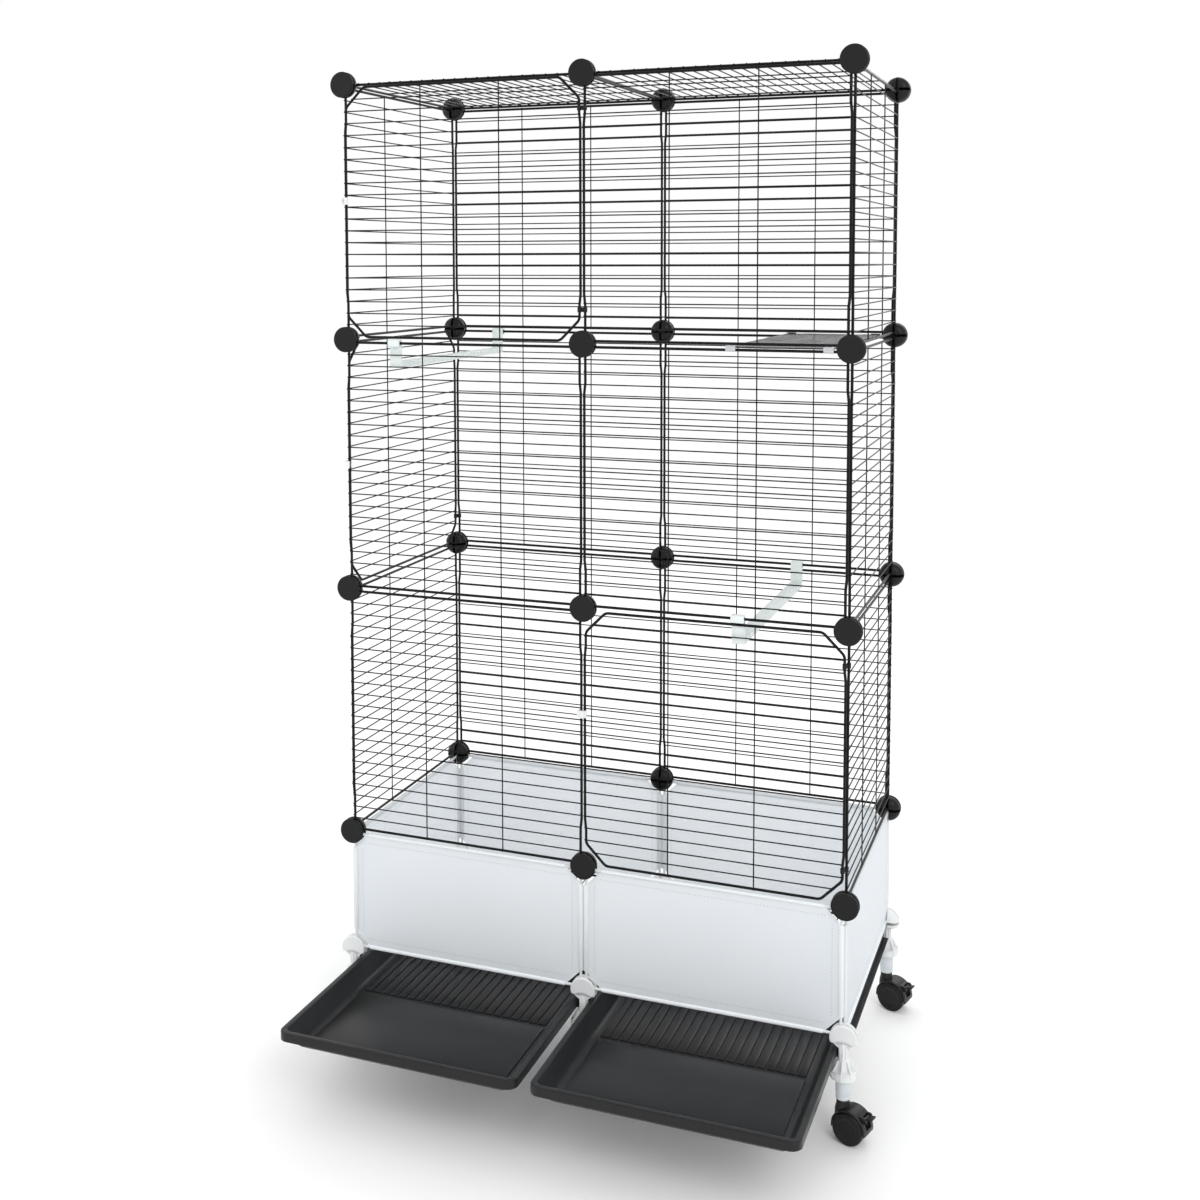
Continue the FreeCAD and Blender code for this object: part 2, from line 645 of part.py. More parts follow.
axle_hole = new_sketch(hood, "XZ_Plane", "hood_axle_hole_outline")
circle(axle_hole, castor_trail, wheel_radius, axle_radius + run_fit)
feature(hood, "Pocket", axle_hole, "hood_axle_hole", guard_half * 4, both_ways=True)
pin_hole = new_sketch(hood, "XZ_Plane", "hood_pin_hole_outline")
circle(pin_hole, pin_x, pin_z, pedal_pin_radius + run_fit)
feature(hood, "Pocket", pin_hole, "hood_pin_hole", guard_half * 4, both_ways=True)
stem_sketch = new_sketch(hood, "XY_Plane", "hood_stem_outline", boss_top)
circle(stem_sketch, 0, 0, stem_radius)
feature(hood, "Pad", stem_sketch, "hood_stem", stem_length)

# Castor wheels: two dished wheels on one axle that turns in the web.
wheels = new_body("wheels")
wheel_profile = new_sketch(wheels, "XY_Plane", "wheels_profile")
wheel_in = web_thickness / 2 + wheel_side_gap
wheel_out = wheel_in + wheel_width
rim = wheel_radius - wheel_bevel
outline(wheel_profile, [(0, -wheel_out + hub_dish), (hub_dish_radius, -wheel_out + hub_dish),
                        (hub_dish_radius + hub_dish, -wheel_out), (rim, -wheel_out),
                        (wheel_radius, -wheel_out + wheel_bevel), (wheel_radius, -wheel_in),
                        (axle_radius, -wheel_in), (axle_radius, wheel_in), (wheel_radius, wheel_in),
                        (wheel_radius, wheel_out - wheel_bevel), (rim, wheel_out),
                        (hub_dish_radius + hub_dish, wheel_out),
                        (hub_dish_radius, wheel_out - hub_dish), (0, wheel_out - hub_dish)])
revolve(wheels, "Revolution", wheel_profile, "wheels_pair", "V_Axis")
wheels.Placement = at(castor_trail, 0, wheel_radius)

# Brake pedal: a flat tread on a hub whose two pins turn in the hood's lugs.
pedal = new_body("pedal")
tread_sketch = new_sketch(pedal, "XZ_Plane", "pedal_tread_outline")
tread_low = pin_z - pedal_thickness / 2
tread_high = pin_z + pedal_thickness / 2
outline(tread_sketch, [(pin_x, tread_low), (pin_x + pedal_reach, tread_low + pedal_rise),
                       (pin_x + pedal_reach, tread_high + pedal_rise), (pin_x, tread_high)])
feature(pedal, "Pad", tread_sketch, "pedal_tread", pedal_width, both_ways=True)
hub_sketch = new_sketch(pedal, "XZ_Plane", "pedal_hub_outline")
circle(hub_sketch, pin_x, pin_z, pedal_hub_radius)
feature(pedal, "Pad", hub_sketch, "pedal_hub", pedal_width, both_ways=True)
pin_sketch = new_sketch(pedal, "XZ_Plane", "pedal_pin_outline")
circle(pin_sketch, pin_x, pin_z, pedal_pin_radius)
feature(pedal, "Pad", pin_sketch, "pedal_pins", lug_half * 2, both_ways=True)
for post_name, post_x, post_y, post_turn in posts:
    spot = at(post_x, post_y, 0, castor_turn)
    piece("%s_castor_hood" % post_name, [(hood, spot)])
    piece("%s_castor_wheels" % post_name, [(wheels, spot)])
    piece("%s_brake_pedal" % post_name, [(pedal, spot)])

# Tray: a rolled lip, sloping walls, a floor that is smooth in front and grooved at the back.
tray_half = pitch / 2 - tray_side_gap
tray_top = post_height - tray_drop
tray_front = front_y - tray_front_reach - tray_pull
tray_back = tray_front + tray_length
tray = new_body("tray")
lip_sketch = new_sketch(tray, "XY_Plane", "tray_lip_outline", tray_top)
rounded_rectangle(lip_sketch, -tray_half, tray_half, tray_front, tray_back, tray_corner)
feature(tray, "Pad", lip_sketch, "tray_lip", tray_lip_height, backwards=True)
fold_sketch = new_sketch(tray, "XY_Plane", "tray_fold_outline", tray_top - tray_lip_height)
rounded_rectangle(fold_sketch, tray_wall - tray_half, tray_half - tray_wall, tray_front + tray_wall,
                  tray_back - tray_wall, tray_corner - tray_wall)
feature(tray, "Pocket", fold_sketch, "tray_fold", tray_lip_height - tray_wall, backwards=True)


def tray_section(label, lift, margin):
    """The tray's outline at one height, drawn in from the lip by margin."""
    section = new_sketch(tray, "XY_Plane", label, lift)
    rounded_rectangle(section, margin - tray_half, tray_half - margin, tray_front + margin,
                      tray_back - margin, tray_corner)
    return section


def tray_loft(kind, label, upper, lower):
    doc.recompute()
    made = tray.newObject("PartDesign::" + kind, label)
    made.Profile = upper
    made.Sections = [lower]
    doc.recompute()


bowl_margin = tray_lip_width - tray_wall
tray_under = tray_top - tray_depth - tray_wall
tray_floor = tray_top - tray_depth
tray_loft("AdditiveLoft", "tray_bowl", tray_section("tray_bowl_top", tray_top - tray_wall, bowl_margin),
          tray_section("tray_bowl_base", tray_under, bowl_margin + tray_slope))
tray_loft("SubtractiveLoft", "tray_inside", tray_section("tray_inside_top", tray_top, tray_lip_width),
          tray_section("tray_inside_base", tray_floor, tray_lip_width + tray_slope))
floor_margin = tray_lip_width + tray_slope + tray_band_width
band_y = tray_back - tray_length * tray_rib_share
rib_lift = tray_floor + tray_floor_rise
ribbed = new_sketch(tray, "XY_Plane", "tray_ribbed_outline", tray_floor)
rectangle(ribbed, floor_margin - tray_half, tray_half - floor_margin, band_y + tray_band_width,
          tray_back - floor_margin)
feature(tray, "Pad", ribbed, "tray_ribbed_floor", tray_floor_rise)
smooth = new_sketch(tray, "XY_Plane", "tray_smooth_outline", tray_floor)
rectangle(smooth, floor_margin - tray_half, tray_half - floor_margin, tray_front + floor_margin, band_y)
feature(tray, "Pad", smooth, "tray_smooth_floor", tray_floor_rise)
rib_pitch = (tray_half - floor_margin) * 2 / (tray_rib_count + 1)
groove_sketch = new_sketch(tray, "XY_Plane", "tray_groove_outline", rib_lift)
first_groove = floor_margin - tray_half + rib_pitch
rectangle(groove_sketch, first_groove - tray_rib_width / 2, first_groove + tray_rib_width / 2,
          band_y + tray_band_width * 0.5, tray_back - floor_margin * 0.9)
groove = feature(tray, "Pocket", groove_sketch, "tray_groove", tray_floor_rise)
grooves = tray.newObject("PartDesign::LinearPattern", "tray_grooves")
grooves.Originals = [groove]
grooves.Direction = (groove_sketch, ["H_Axis"])
grooves.Length = float(rib_pitch * (tray_rib_count - 1))
grooves.setExpression("Length", (rib_pitch * (tray_rib_count - 1)).text)
grooves.Occurrences = int(float(tray_rib_count))
grooves.setExpression("Occurrences", tray_rib_count.text)
tray.Tip = grooves
doc.recompute()
piece("tray_left", [(tray, at(left_x, 0, 0))])
piece("tray_right", [(tray, at(right_x, 0, 0))])

# Tray runners: folded strips with half-round notches that sit between the front and back post
# necks, on their flanges; the tray lips slide on them.
runner_low = post_height - neck_length + slot_fit
runner_top = runner_low + runner_thickness


def runner(label, x_low, x_high, webs):
    parts = [block(label + "_shelf", x_low, x_high, front_y, back_y, runner_low, runner_top)]
    inner_reach = back_y - neck_radius - plug_fit * 4
    for number, web_x in enumerate(webs):
        parts.append(block("%s_web_%d" % (label, number), web_x, web_x + runner_thickness, -inner_reach,
                           inner_reach, runner_low, runner_low + runner_height))
    notches = [primitive("Cylinder", "%s_notch_%d" % (label, number), (0, notch_y, runner_low - clear_gap),
                         Radius=neck_radius + plug_fit, Height=runner_thickness + clear_gap * 2)
               for number, notch_y in enumerate((front_y, back_y))]
    return cut(label, fuse(label + "_strip", parts), fuse(label + "_notches", notches))


outer_edge = runner_web_place + runner_thickness
runner_left = runner("runner_left", -runner_overhang, runner_shelf, [runner_web_place])
runner_middle = runner("runner_middle", -runner_shelf, runner_shelf, [-outer_edge, runner_web_place])
runner_right = runner("runner_right", -runner_shelf, runner_overhang, [-outer_edge])
piece("tray_runners", [(runner_left, at(-pitch, 0, 0)), (runner_middle, at(0, 0, 0)),
                       (runner_right, at(pitch, 0, 0))])

# Perch: a flat bar with a hook at each end that hangs over the frame wires, front and back.
# Drawn with the wires it hangs on at Z = 0.
perch = new_body("perch")
perch_sketch = new_sketch(perch, "YZ_Plane", "perch_profile")
hook_top = wire_radius + hook_fit * 0.5 + hook_thickness
leg_out = back_y - wire_radius - hook_fit
leg_in = leg_out - hook_thickness
lip_in = back_y + wire_radius + hook_fit
lip_out = lip_in + hook_thickness
hook_under = wire_radius + hook_fit * 0.5
bar_top = perch_thickness - perch_drop
lip_low = hook_top - hook_lip
half_profile = [(leg_in, bar_top), (leg_in, hook_top), (lip_out, hook_top), (lip_out, lip_low),
                (lip_in, lip_low), (lip_in, hook_under), (leg_out, hook_under), (leg_out, -perch_drop)]
outline(perch_sketch, half_profile + [(-y, z) for y, z in reversed(half_profile)])
feature(perch, "Pad", perch_sketch, "perch_bar", perch_width, both_ways=True)
piece("perch_high", [(perch, at(pitch * perch_high_place - pitch, 0, row_2 - half_spacing))])
piece("perch_low", [(perch, at(pitch * perch_low_place, 0, row_3 + half_spacing))])

# Rest platform: a thin board between the frame wires of two tiers, with a metal clip at each corner.
board_low = row_2 - half_spacing + wire_radius
board_top = board_low + platform_thickness
board_y = back_y + platform_overhang
platform = block("platform", pitch * platform_start, pitch * platform_end, -board_y, board_y, board_low,
                 board_top)
doc.recompute()
piece("rest_platform", [(platform, at(0, 0, 0))])
clip_copies = []
for clip_number, clip_x in enumerate((pitch * platform_start, pitch * platform_end - end_clip_width)):
    for side_name, side_turn in (("front", 0), ("back", 180)):
        name = "end_clip_%s_%d" % (side_name, clip_number)
        start_x = clip_x if side_turn == 0 else -clip_x - end_clip_width
        flat = block(name + "_top", start_x, start_x + end_clip_width, -board_y - end_clip_metal,
                     -board_y + end_clip_reach, board_top, board_top + end_clip_metal)
        drop = block(name + "_drop", start_x, start_x + end_clip_width, -board_y - end_clip_metal, -board_y,
                     board_top - end_clip_drop, board_top)
        clip_copies.append((fuse(name, [flat, drop]), at(0, 0, 0, side_turn)))
piece("platform_clips", clip_copies)


# Hinge clip: two joined rings, one gripping the fixed wire, one in which the door's wire turns.
# The door's wire is at the origin and the fixed wire at aside, behind.
def hinge_clip(label, aside, behind):
    span = math.hypot(float(aside), float(behind))
    ring_radius = wire_radius + run_fit + clip_wall
    rings = []
    bores = []
    for number, (x, y) in enumerate(((aside * 0, behind * 0), (aside, behind))):
        rings.append(primitive("Cylinder", "%s_ring_%d" % (label, number), (x, y, -clip_height / 2),
                               Radius=ring_radius, Height=clip_height))
        bores.append(primitive("Cylinder", "%s_bore_%d" % (label, number), (x, y, -clip_height),
                               Radius=wire_radius + run_fit, Height=clip_height * 2))
    bridge = primitive("Box", label + "_bridge", (0, 0, 0), Length=Size(span, repr(span)), Width=clip_wall * 2,
                       Height=clip_height)
    heading = math.degrees(math.atan2(float(behind), float(aside)))
    turned = FreeCAD.Rotation(FreeCAD.Vector(0, 0, 1), heading)
    corner = turned.multVec(FreeCAD.Vector(0, -float(clip_wall), -float(clip_height) / 2))
    bridge.Placement = FreeCAD.Placement(corner, turned)
    return cut(label, fuse(label + "_body", rings + [bridge]), fuse(label + "_bores", bores))


clip_level = hinge_clip("hinge_clip_level", frame_spacing, frame_spacing * 0)
clip_corner = hinge_clip("hinge_clip_corner", half_spacing, side_setback)
clip_lift = mesh_pitch * clip_rows
hinge_places = []
for lift in (-clip_lift, clip_lift):
    hinge_places.append((clip_level, at(-half_spacing, front_y, top_z + lift)))
    hinge_places.append((clip_corner, at(pitch - half_spacing, front_y, low_z + lift)))
    hinge_places.append((clip_corner, at(-pitch, back_y - side_setback, middle_z + lift)))
piece("door_hinge_clips", hinge_places)


# Latch: a ring round the door's edge wire with an arm and a finger over the neighbouring wire.
# The neighbour is at aside, behind; the mouth opens inwards (+Y), so a pull frees it.
def latch(label, aside, behind):
    ring_radius = wire_radius + run_fit + latch_ring_wall
    half_height = latch_height / 2
    finger_in = aside + wire_radius + latch_clear
    finger_out = finger_in + latch_wall
    arm_in = behind - wire_radius - latch_clear
    arm_out = arm_in - latch_wall - clear_gap
    ring = primitive("Cylinder", label + "_ring", (0, 0, -half_height), Radius=ring_radius, Height=latch_height)
    arm = block(label + "_arm", aside * 0, finger_out, arm_out, arm_in, -half_height, half_height)
    finger = block(label + "_finger", finger_in, finger_out, arm_out, behind + latch_hold, -half_height,
                   half_height)
    bore = primitive("Cylinder", label + "_bore", (0, 0, -latch_height), Radius=wire_radius + run_fit,
                     Height=latch_height * 2)
    return cut(label, fuse(label + "_body", [ring, arm, finger]), bore)


beside = frame_spacing - frame_bow * 2
beside_corner = half_spacing - frame_bow
behind_corner = side_setback - frame_bow
latch_flat = latch("latch_flat", beside, beside * 0)
latch_front_corner = latch("latch_front_corner", beside_corner, behind_corner)
latch_side_corner = latch("latch_side_corner", behind_corner, beside_corner)


def flipped(x, y, z):
    """A place turned half round the Y axis, so that a right-hand shape reaches to the left."""
    return FreeCAD.Placement(FreeCAD.Vector(float(x), float(y), float(z)),
                             FreeCAD.Rotation(FreeCAD.Vector(0, 1, 0), 180))


piece("latch_front_top", [(latch_front_corner, flipped(beside_corner - pitch, front_y, top_z + mesh_pitch))])
piece("latch_front_low", [(latch_flat, flipped(beside_corner, front_y, low_z + mesh_pitch * 2))])
piece("latch_side", [(latch_side_corner, at(-pitch, front_y + behind_corner, middle_z, -90))])

doc.recompute()
for item in doc.Objects:
    if "Invalid" in item.State or "Error" in item.State:
        raise RuntimeError("%s did not build: %s" % (item.Label, item.State))
os.makedirs("parts", exist_ok=True)
for node in nodes:
    if node.Shape.isNull() or not node.Shape.isValid() or not node.Shape.Solids:
        raise RuntimeError("%s has no sound shape" % node.Label)
    node.Shape.exportStep("parts/%s.step" % node.Label)
print("%d nodes written" % len(nodes))
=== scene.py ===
import math

import bmesh
import bpy
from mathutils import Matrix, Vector


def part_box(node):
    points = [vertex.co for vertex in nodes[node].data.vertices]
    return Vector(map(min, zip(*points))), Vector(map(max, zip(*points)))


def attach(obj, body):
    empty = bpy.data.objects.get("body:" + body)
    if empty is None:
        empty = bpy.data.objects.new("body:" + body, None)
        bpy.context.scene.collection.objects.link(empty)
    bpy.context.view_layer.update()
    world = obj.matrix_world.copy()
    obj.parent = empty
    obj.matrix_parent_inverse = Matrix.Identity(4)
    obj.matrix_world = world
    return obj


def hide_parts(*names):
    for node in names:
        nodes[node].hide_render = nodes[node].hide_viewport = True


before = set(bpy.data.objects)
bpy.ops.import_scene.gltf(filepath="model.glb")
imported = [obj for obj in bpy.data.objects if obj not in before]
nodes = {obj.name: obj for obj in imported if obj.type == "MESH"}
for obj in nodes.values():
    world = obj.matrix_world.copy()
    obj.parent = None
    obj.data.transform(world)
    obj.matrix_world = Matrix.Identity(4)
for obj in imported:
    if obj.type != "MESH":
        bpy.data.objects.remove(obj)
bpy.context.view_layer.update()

# Castors: six swivel castors of black nylon. Each has two dished wheels on one steel axle,
# a moulded hood that arches over them, and a brake pedal pinned between the hood's lugs.
post_spots = {}
for side, side_y in (("front", -0.1805), ("back", 0.1805)):
    for column, column_x in (("left", -0.355), ("middle", 0.0), ("right", 0.355)):
        post_spots[side + "_" + column] = (column_x, side_y)
castor_turn = math.radians(-17)
trail = 0.013
wheel_radius = 0.021


def work_on(piece):
    """Leave one piece selected and active."""
    bpy.ops.object.select_all(action="DESELECT")
    piece.select_set(True)
    bpy.context.view_layer.objects.active = piece


def pick(piece, kind, test):
    """Select the vertices, edges or faces in edit mode whose middle passes the test."""
    bpy.ops.mesh.select_mode(type=kind)
    bpy.ops.mesh.select_all(action="DESELECT")
    shape = bmesh.from_edit_mesh(piece.data)
    parts = {"VERT": shape.verts, "EDGE": shape.edges, "FACE": shape.faces}[kind]
    for part in parts:
        corners = [part.co] if kind == "VERT" else [corner.co for corner in part.verts]
        middle = sum(corners, Vector()) / len(corners)
        part.select_set(bool(test(middle, part)))
    shape.select_flush_mode()
    bmesh.update_edit_mesh(piece.data)


def use_modifier(piece, kind, **settings):
    """Add a modifier and apply it at once."""
    work_on(piece)
    modifier = piece.modifiers.new(kind.lower(), kind)
    for name, setting in settings.items():
        setattr(modifier, name, setting)
    bpy.ops.object.modifier_apply(modifier=modifier.name)


def soften(piece, width, segments=2, angle=35):
    """Round the sharp edges and shade the rest smooth."""
    use_modifier(piece, "BEVEL", width=width, segments=segments, limit_method="ANGLE",
                 angle_limit=math.radians(angle), use_clamp_overlap=True)
    work_on(piece)
    bpy.ops.object.shade_smooth_by_angle(angle=math.radians(38))


def lathe(name, outline, steps, axis="Z"):
    """A turned piece: its half outline, as radius and height, is drawn and spun once round."""
    bpy.ops.object.select_all(action="DESELECT")
    bpy.ops.mesh.primitive_plane_add(size=0.001)
    piece = bpy.context.object
    piece.name = name
    bpy.ops.object.mode_set(mode="EDIT")
    bpy.ops.mesh.select_mode(type="VERT")
    bpy.ops.mesh.select_all(action="SELECT")
    bpy.ops.mesh.merge(type="CENTER")
    radius, height = outline[0]
    bpy.ops.transform.translate(value=(radius, 0, height))
    for next_radius, next_height in outline[1:]:
        step = (next_radius - radius, 0, next_height - height)
        bpy.ops.mesh.extrude_region_move(TRANSFORM_OT_translate={"value": step})
        radius, height = next_radius, next_height
    bpy.ops.mesh.select_all(action="SELECT")
    bpy.ops.mesh.spin(steps=steps, angle=2 * math.pi, center=(0, 0, 0), axis=(0, 0, 1))
    bpy.ops.mesh.select_all(action="SELECT")
    bpy.ops.mesh.remove_doubles(threshold=0.00002)
    bpy.ops.mesh.normals_make_consistent(inside=False)
    bpy.ops.object.mode_set(mode="OBJECT")
    if axis == "Y":
        piece.rotation_euler = (math.radians(90), 0, 0)
        bpy.ops.object.transform_apply(location=False, rotation=True, scale=False)
    return piece


def join(name, pieces):
    """Make one piece of several."""
    bpy.ops.object.select_all(action="DESELECT")
    for piece in pieces:
        piece.select_set(True)
    bpy.context.view_layer.objects.active = pieces[0]
    bpy.ops.object.join()
    pieces[0].name = name
    return pieces[0]


def copy_to(master, name, place, turn=0.0, tilt=(0.0, 0.0)):
    """A copy with its own mesh, turned and moved, with its place kept in the mesh."""
    work_on(master)
    bpy.ops.object.duplicate()
    made = bpy.context.object
    made.name = name
    made.rotation_euler = (tilt[0], tilt[1], turn)
    made.location = place
    bpy.ops.object.transform_apply(location=True, rotation=True, scale=False)
    return made


class Value:
    """One socket in a material; sums written with it become Math nodes."""

    def __init__(self, tree, socket):
        self.tree = tree
        self.socket = socket

    def node(self, kind, settings, inputs, output=0):
        """Any other node, with its settings and inputs."""
        made = self.tree.nodes.new(kind)
        for name, setting in settings.items():
            setattr(made, name, setting)
        for name, value in inputs.items():
            if isinstance(value, Value):
                self.tree.links.new(value.socket, made.inputs[name])
            else:
                made.inputs[name].default_value = value
        return Value(self.tree, made.outputs[output])

    def math(self, operation, first, second):
        return self.node("ShaderNodeMath", {"operation": operation}, {0: first, 1: second})

    def __add__(self, other):
        return self.math("ADD", self, other)

    def __radd__(self, other):
        return self.math("ADD", other, self)

    def __sub__(self, other):
        return self.math("SUBTRACT", self, other)

    def __rsub__(self, other):
        return self.math("SUBTRACT", other, self)

    def __mul__(self, other):
        return self.math("MULTIPLY", self, other)

    def __rmul__(self, other):
        return self.math("MULTIPLY", other, self)

    def noise(self, scale, detail=2.0):
        """Fractal noise over this place, from 0 to 1."""
        return self.node("ShaderNodeTexNoise", {}, {"Vector": self, "Scale": scale, "Detail": detail})

    def blend(self, low, high):
        """A colour between two, with this value as the share of the second."""
        return self.node("ShaderNodeMix", {"data_type": "RGBA"}, {0: self, 6: low, 7: high}, output=2)


def new_finish(name):
    """A new material: itself, its shader and the place of a point on the piece."""
    material = bpy.data.materials.new(name)
    material.use_nodes = True
    tree = material.node_tree
    place = Value(tree, tree.nodes.new("ShaderNodeTexCoord").outputs["Object"])
    return material, tree.nodes["Principled BSDF"], place


def connect(shader, **values):
    """Link values to the shader's sockets; underscores stand for spaces."""
    for name, value in values.items():
        socket = shader.inputs[name.replace("_", " ")]
        if isinstance(value, Value):
            value.tree.links.new(value.socket, socket)
        else:
            socket.default_value = value


def bump(height, strength, distance):
    """A surface normal from a height."""
    return height.node("ShaderNodeBump", {}, {"Height": height, "Strength": strength, "Distance": distance})


def dress(piece, material):
    """Give a piece one material."""
    piece.data.materials.clear()
    piece.data.materials.append(material)


def moulded_plastic(name, dark, light, roughness, grain, gloss=0.4):
    """Injection-moulded plastic: a fine spark-eroded grain, faint flow marks and rubbed patches."""
    material, shader, place = new_finish(name)
    flow = place.noise(9.0, 3.0)
    rubbed = place.noise(55.0, 4.0)
    fine = place.noise(grain, 2.0)
    shade = flow * 0.6 + rubbed * 0.4
    connect(shader, Base_Color=shade.blend(dark, light), Roughness=rubbed * 0.16 + (roughness - 0.08),
            Normal=bump(fine, 0.25, 0.0002), Specular_IOR_Level=gloss)
    return material


castor_black = moulded_plastic("castor_nylon", (0.009, 0.009, 0.0098, 1), (0.015, 0.015, 0.0162, 1),
                               0.36, 2600, 0.32)
wheel_black = moulded_plastic("wheel_nylon", (0.005, 0.005, 0.0055, 1), (0.010, 0.010, 0.011, 1),
                              0.34, 1900, 0.24)

wheel_half = [(0.0, 0.0145), (0.0100, 0.0146), (0.0128, 0.0149), (0.0140, 0.0157), (0.0152, 0.0159),
              (0.0190, 0.0159), (0.0203, 0.0153), (0.0209, 0.0140), (0.0209, 0.0046), (0.0198, 0.0031),
              (0.0031, 0.0031)]
wheel_outline = wheel_half + [(radius, -height) for radius, height in reversed(wheel_half)]
wheel_pair = lathe("wheel_pair", wheel_outline, 40, axis="Y")
soften(wheel_pair, 0.0003, segments=1)
dress(wheel_pair, wheel_black)


def drum(name, radius, width, place, sides=40):
    """A short round bar lying along Y."""
    bpy.ops.object.select_all(action="DESELECT")
    bpy.ops.mesh.primitive_cylinder_add(vertices=sides, radius=radius, depth=width, location=place,
                                        rotation=(math.radians(90), 0, 0))
    made = bpy.context.object
    made.name = name
    bpy.ops.object.transform_apply(location=True, rotation=True, scale=False)
    return made


def bar(name, low, high):
    """A block between two corners."""
    bpy.ops.object.select_all(action="DESELECT")
    bpy.ops.mesh.primitive_cube_add(size=1, location=[(a + b) / 2 for a, b in zip(low, high)])
    made = bpy.context.object
    made.name = name
    made.scale = [b - a for a, b in zip(low, high)]
    bpy.ops.object.transform_apply(location=True, rotation=False, scale=True)
    return made


def carve(piece, tool, operation="DIFFERENCE"):
    """Cut one piece with another, or melt them together, and drop the tool."""
    use_modifier(piece, "BOOLEAN", object=tool, operation=operation, solver="EXACT")
    bpy.data.objects.remove(tool)


hood_lift = wheel_radius - 0.003
pin_x, pin_z = 0.0335, 0.0375
hood = drum("castor_hood", 0.0238, 0.027, (trail, 0, wheel_radius), sides=56)
bpy.ops.object.mode_set(mode="EDIT")
pick(hood, "EDGE", lambda middle, edge: abs(abs(middle.y) - 0.0135) < 1e-5)
bpy.ops.mesh.bevel(offset=0.0016, segments=4)
bpy.ops.mesh.select_all(action="SELECT")
bpy.ops.mesh.bisect(plane_co=(0, 0, hood_lift), plane_no=(0, 0, -1), use_fill=True, clear_outer=True)
bpy.ops.object.mode_set(mode="OBJECT")
lugs = bar("hood_lugs", (trail, -0.009, pin_z - 0.0036), (pin_x + 0.0036, 0.009, pin_z + 0.0036))
bpy.ops.object.mode_set(mode="EDIT")
pick(lugs, "EDGE", lambda middle, edge: middle.x > pin_x and abs(middle.y) < 1e-5)
bpy.ops.mesh.bevel(offset=0.0032, segments=5)
bpy.ops.object.mode_set(mode="OBJECT")
carve(hood, lugs, "UNION")
carve(hood, bar("pedal_gap", (pin_x - 0.0028, -0.0064, 0.0239), (0.046, 0.0064, 0.050)))
for bay_side in (-1, 1):
    carve(hood, drum("wheel_bay", 0.0218, 0.03, (trail, bay_side * 0.0175, wheel_radius), sides=56))
axle_boss = drum("axle_boss", 0.0066, 0.005, (trail, 0, wheel_radius), sides=28)
carve(hood, axle_boss, "UNION")
hood_boss = lathe("hood_boss", [(0.0, 0.030), (0.0108, 0.030), (0.0102, 0.0400), (0.0090, 0.0450),
                                (0.0085, 0.0468), (0.0085, 0.0515), (0.0077, 0.0520), (0.0039, 0.0520),
                                (0.0039, 0.0722), (0.0034, 0.0730), (0.0, 0.0730)], 32)
for bay_side in (-1, 1):
    carve(hood_boss, drum("boss_bay", 0.0227, 0.03, (trail, bay_side * 0.0175, wheel_radius), sides=56))
soften(hood, 0.0005, segments=2)
soften(hood_boss, 0.0004, segments=2)
hood = join("castor_hood", [hood, hood_boss])
dress(hood, castor_black)

pedal = bar("brake_pedal", (pin_x, -0.0059, pin_z - 0.0014), (pin_x + 0.0099, 0.0059, pin_z + 0.0014))
bpy.ops.object.mode_set(mode="EDIT")
pick(pedal, "FACE", lambda middle, face: face.normal.x > 0.5)
bpy.ops.transform.translate(value=(0, 0, 0.0024))
bpy.ops.mesh.select_all(action="SELECT")
bpy.ops.mesh.bevel(offset=0.0006, segments=2)
bpy.ops.object.mode_set(mode="OBJECT")
ridge = bar("pedal_ridge", (pin_x + 0.0040, -0.0050, pin_z + 0.0012),
            (pin_x + 0.0049, 0.0050, pin_z + 0.0030))
bpy.ops.object.mode_set(mode="EDIT")
pick(ridge, "FACE", lambda middle, face: face.normal.z > 0.5)
bpy.ops.mesh.bevel(offset=0.0004, segments=2)
bpy.ops.object.mode_set(mode="OBJECT")
use_modifier(ridge, "ARRAY", count=3, use_relative_offset=False, use_constant_offset=True,
             constant_offset_displace=(0.0021, 0, 0.0005))
pedal_hub = drum("pedal_hub", 0.0024, 0.0118, (pin_x, 0, pin_z), sides=24)
pedal_pins = drum("pedal_pins", 0.0015, 0.0178, (pin_x, 0, pin_z), sides=16)
pedal = join("brake_pedal", [pedal, ridge, pedal_hub, pedal_pins])
soften(pedal, 0.0002, segments=1)
dress(pedal, castor_black)

for post, (post_x, post_y) in post_spots.items():
    spot = (post_x, post_y, 0)
    spun = copy_to(wheel_pair, post + "_wheels_turned", (0, 0, 0))
    spun.location = (trail, 0, wheel_radius)
    bpy.ops.object.transform_apply(location=True, rotation=False, scale=False)
    spun.rotation_euler = (0, 0, castor_turn)
    spun.location = spot
    bpy.ops.object.transform_apply(location=True, rotation=True, scale=False)
    set_hood = copy_to(hood, post + "_hood_moulded", spot, castor_turn)
    set_pedal = copy_to(pedal, post + "_pedal_ridged", spot, castor_turn)
    made = {"castor_wheels": (spun, "_wheels", "wheel_plastic"),
            "castor_hood": (set_hood, "_castor", "castor_plastic"),
            "brake_pedal": (set_pedal, "_pedal", "castor_plastic")}
    for node, (piece, body, slot) in made.items():
        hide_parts(post + "_" + node)
        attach(piece, post + body)
for master in (wheel_pair, hood, pedal):
    bpy.data.objects.remove(master)

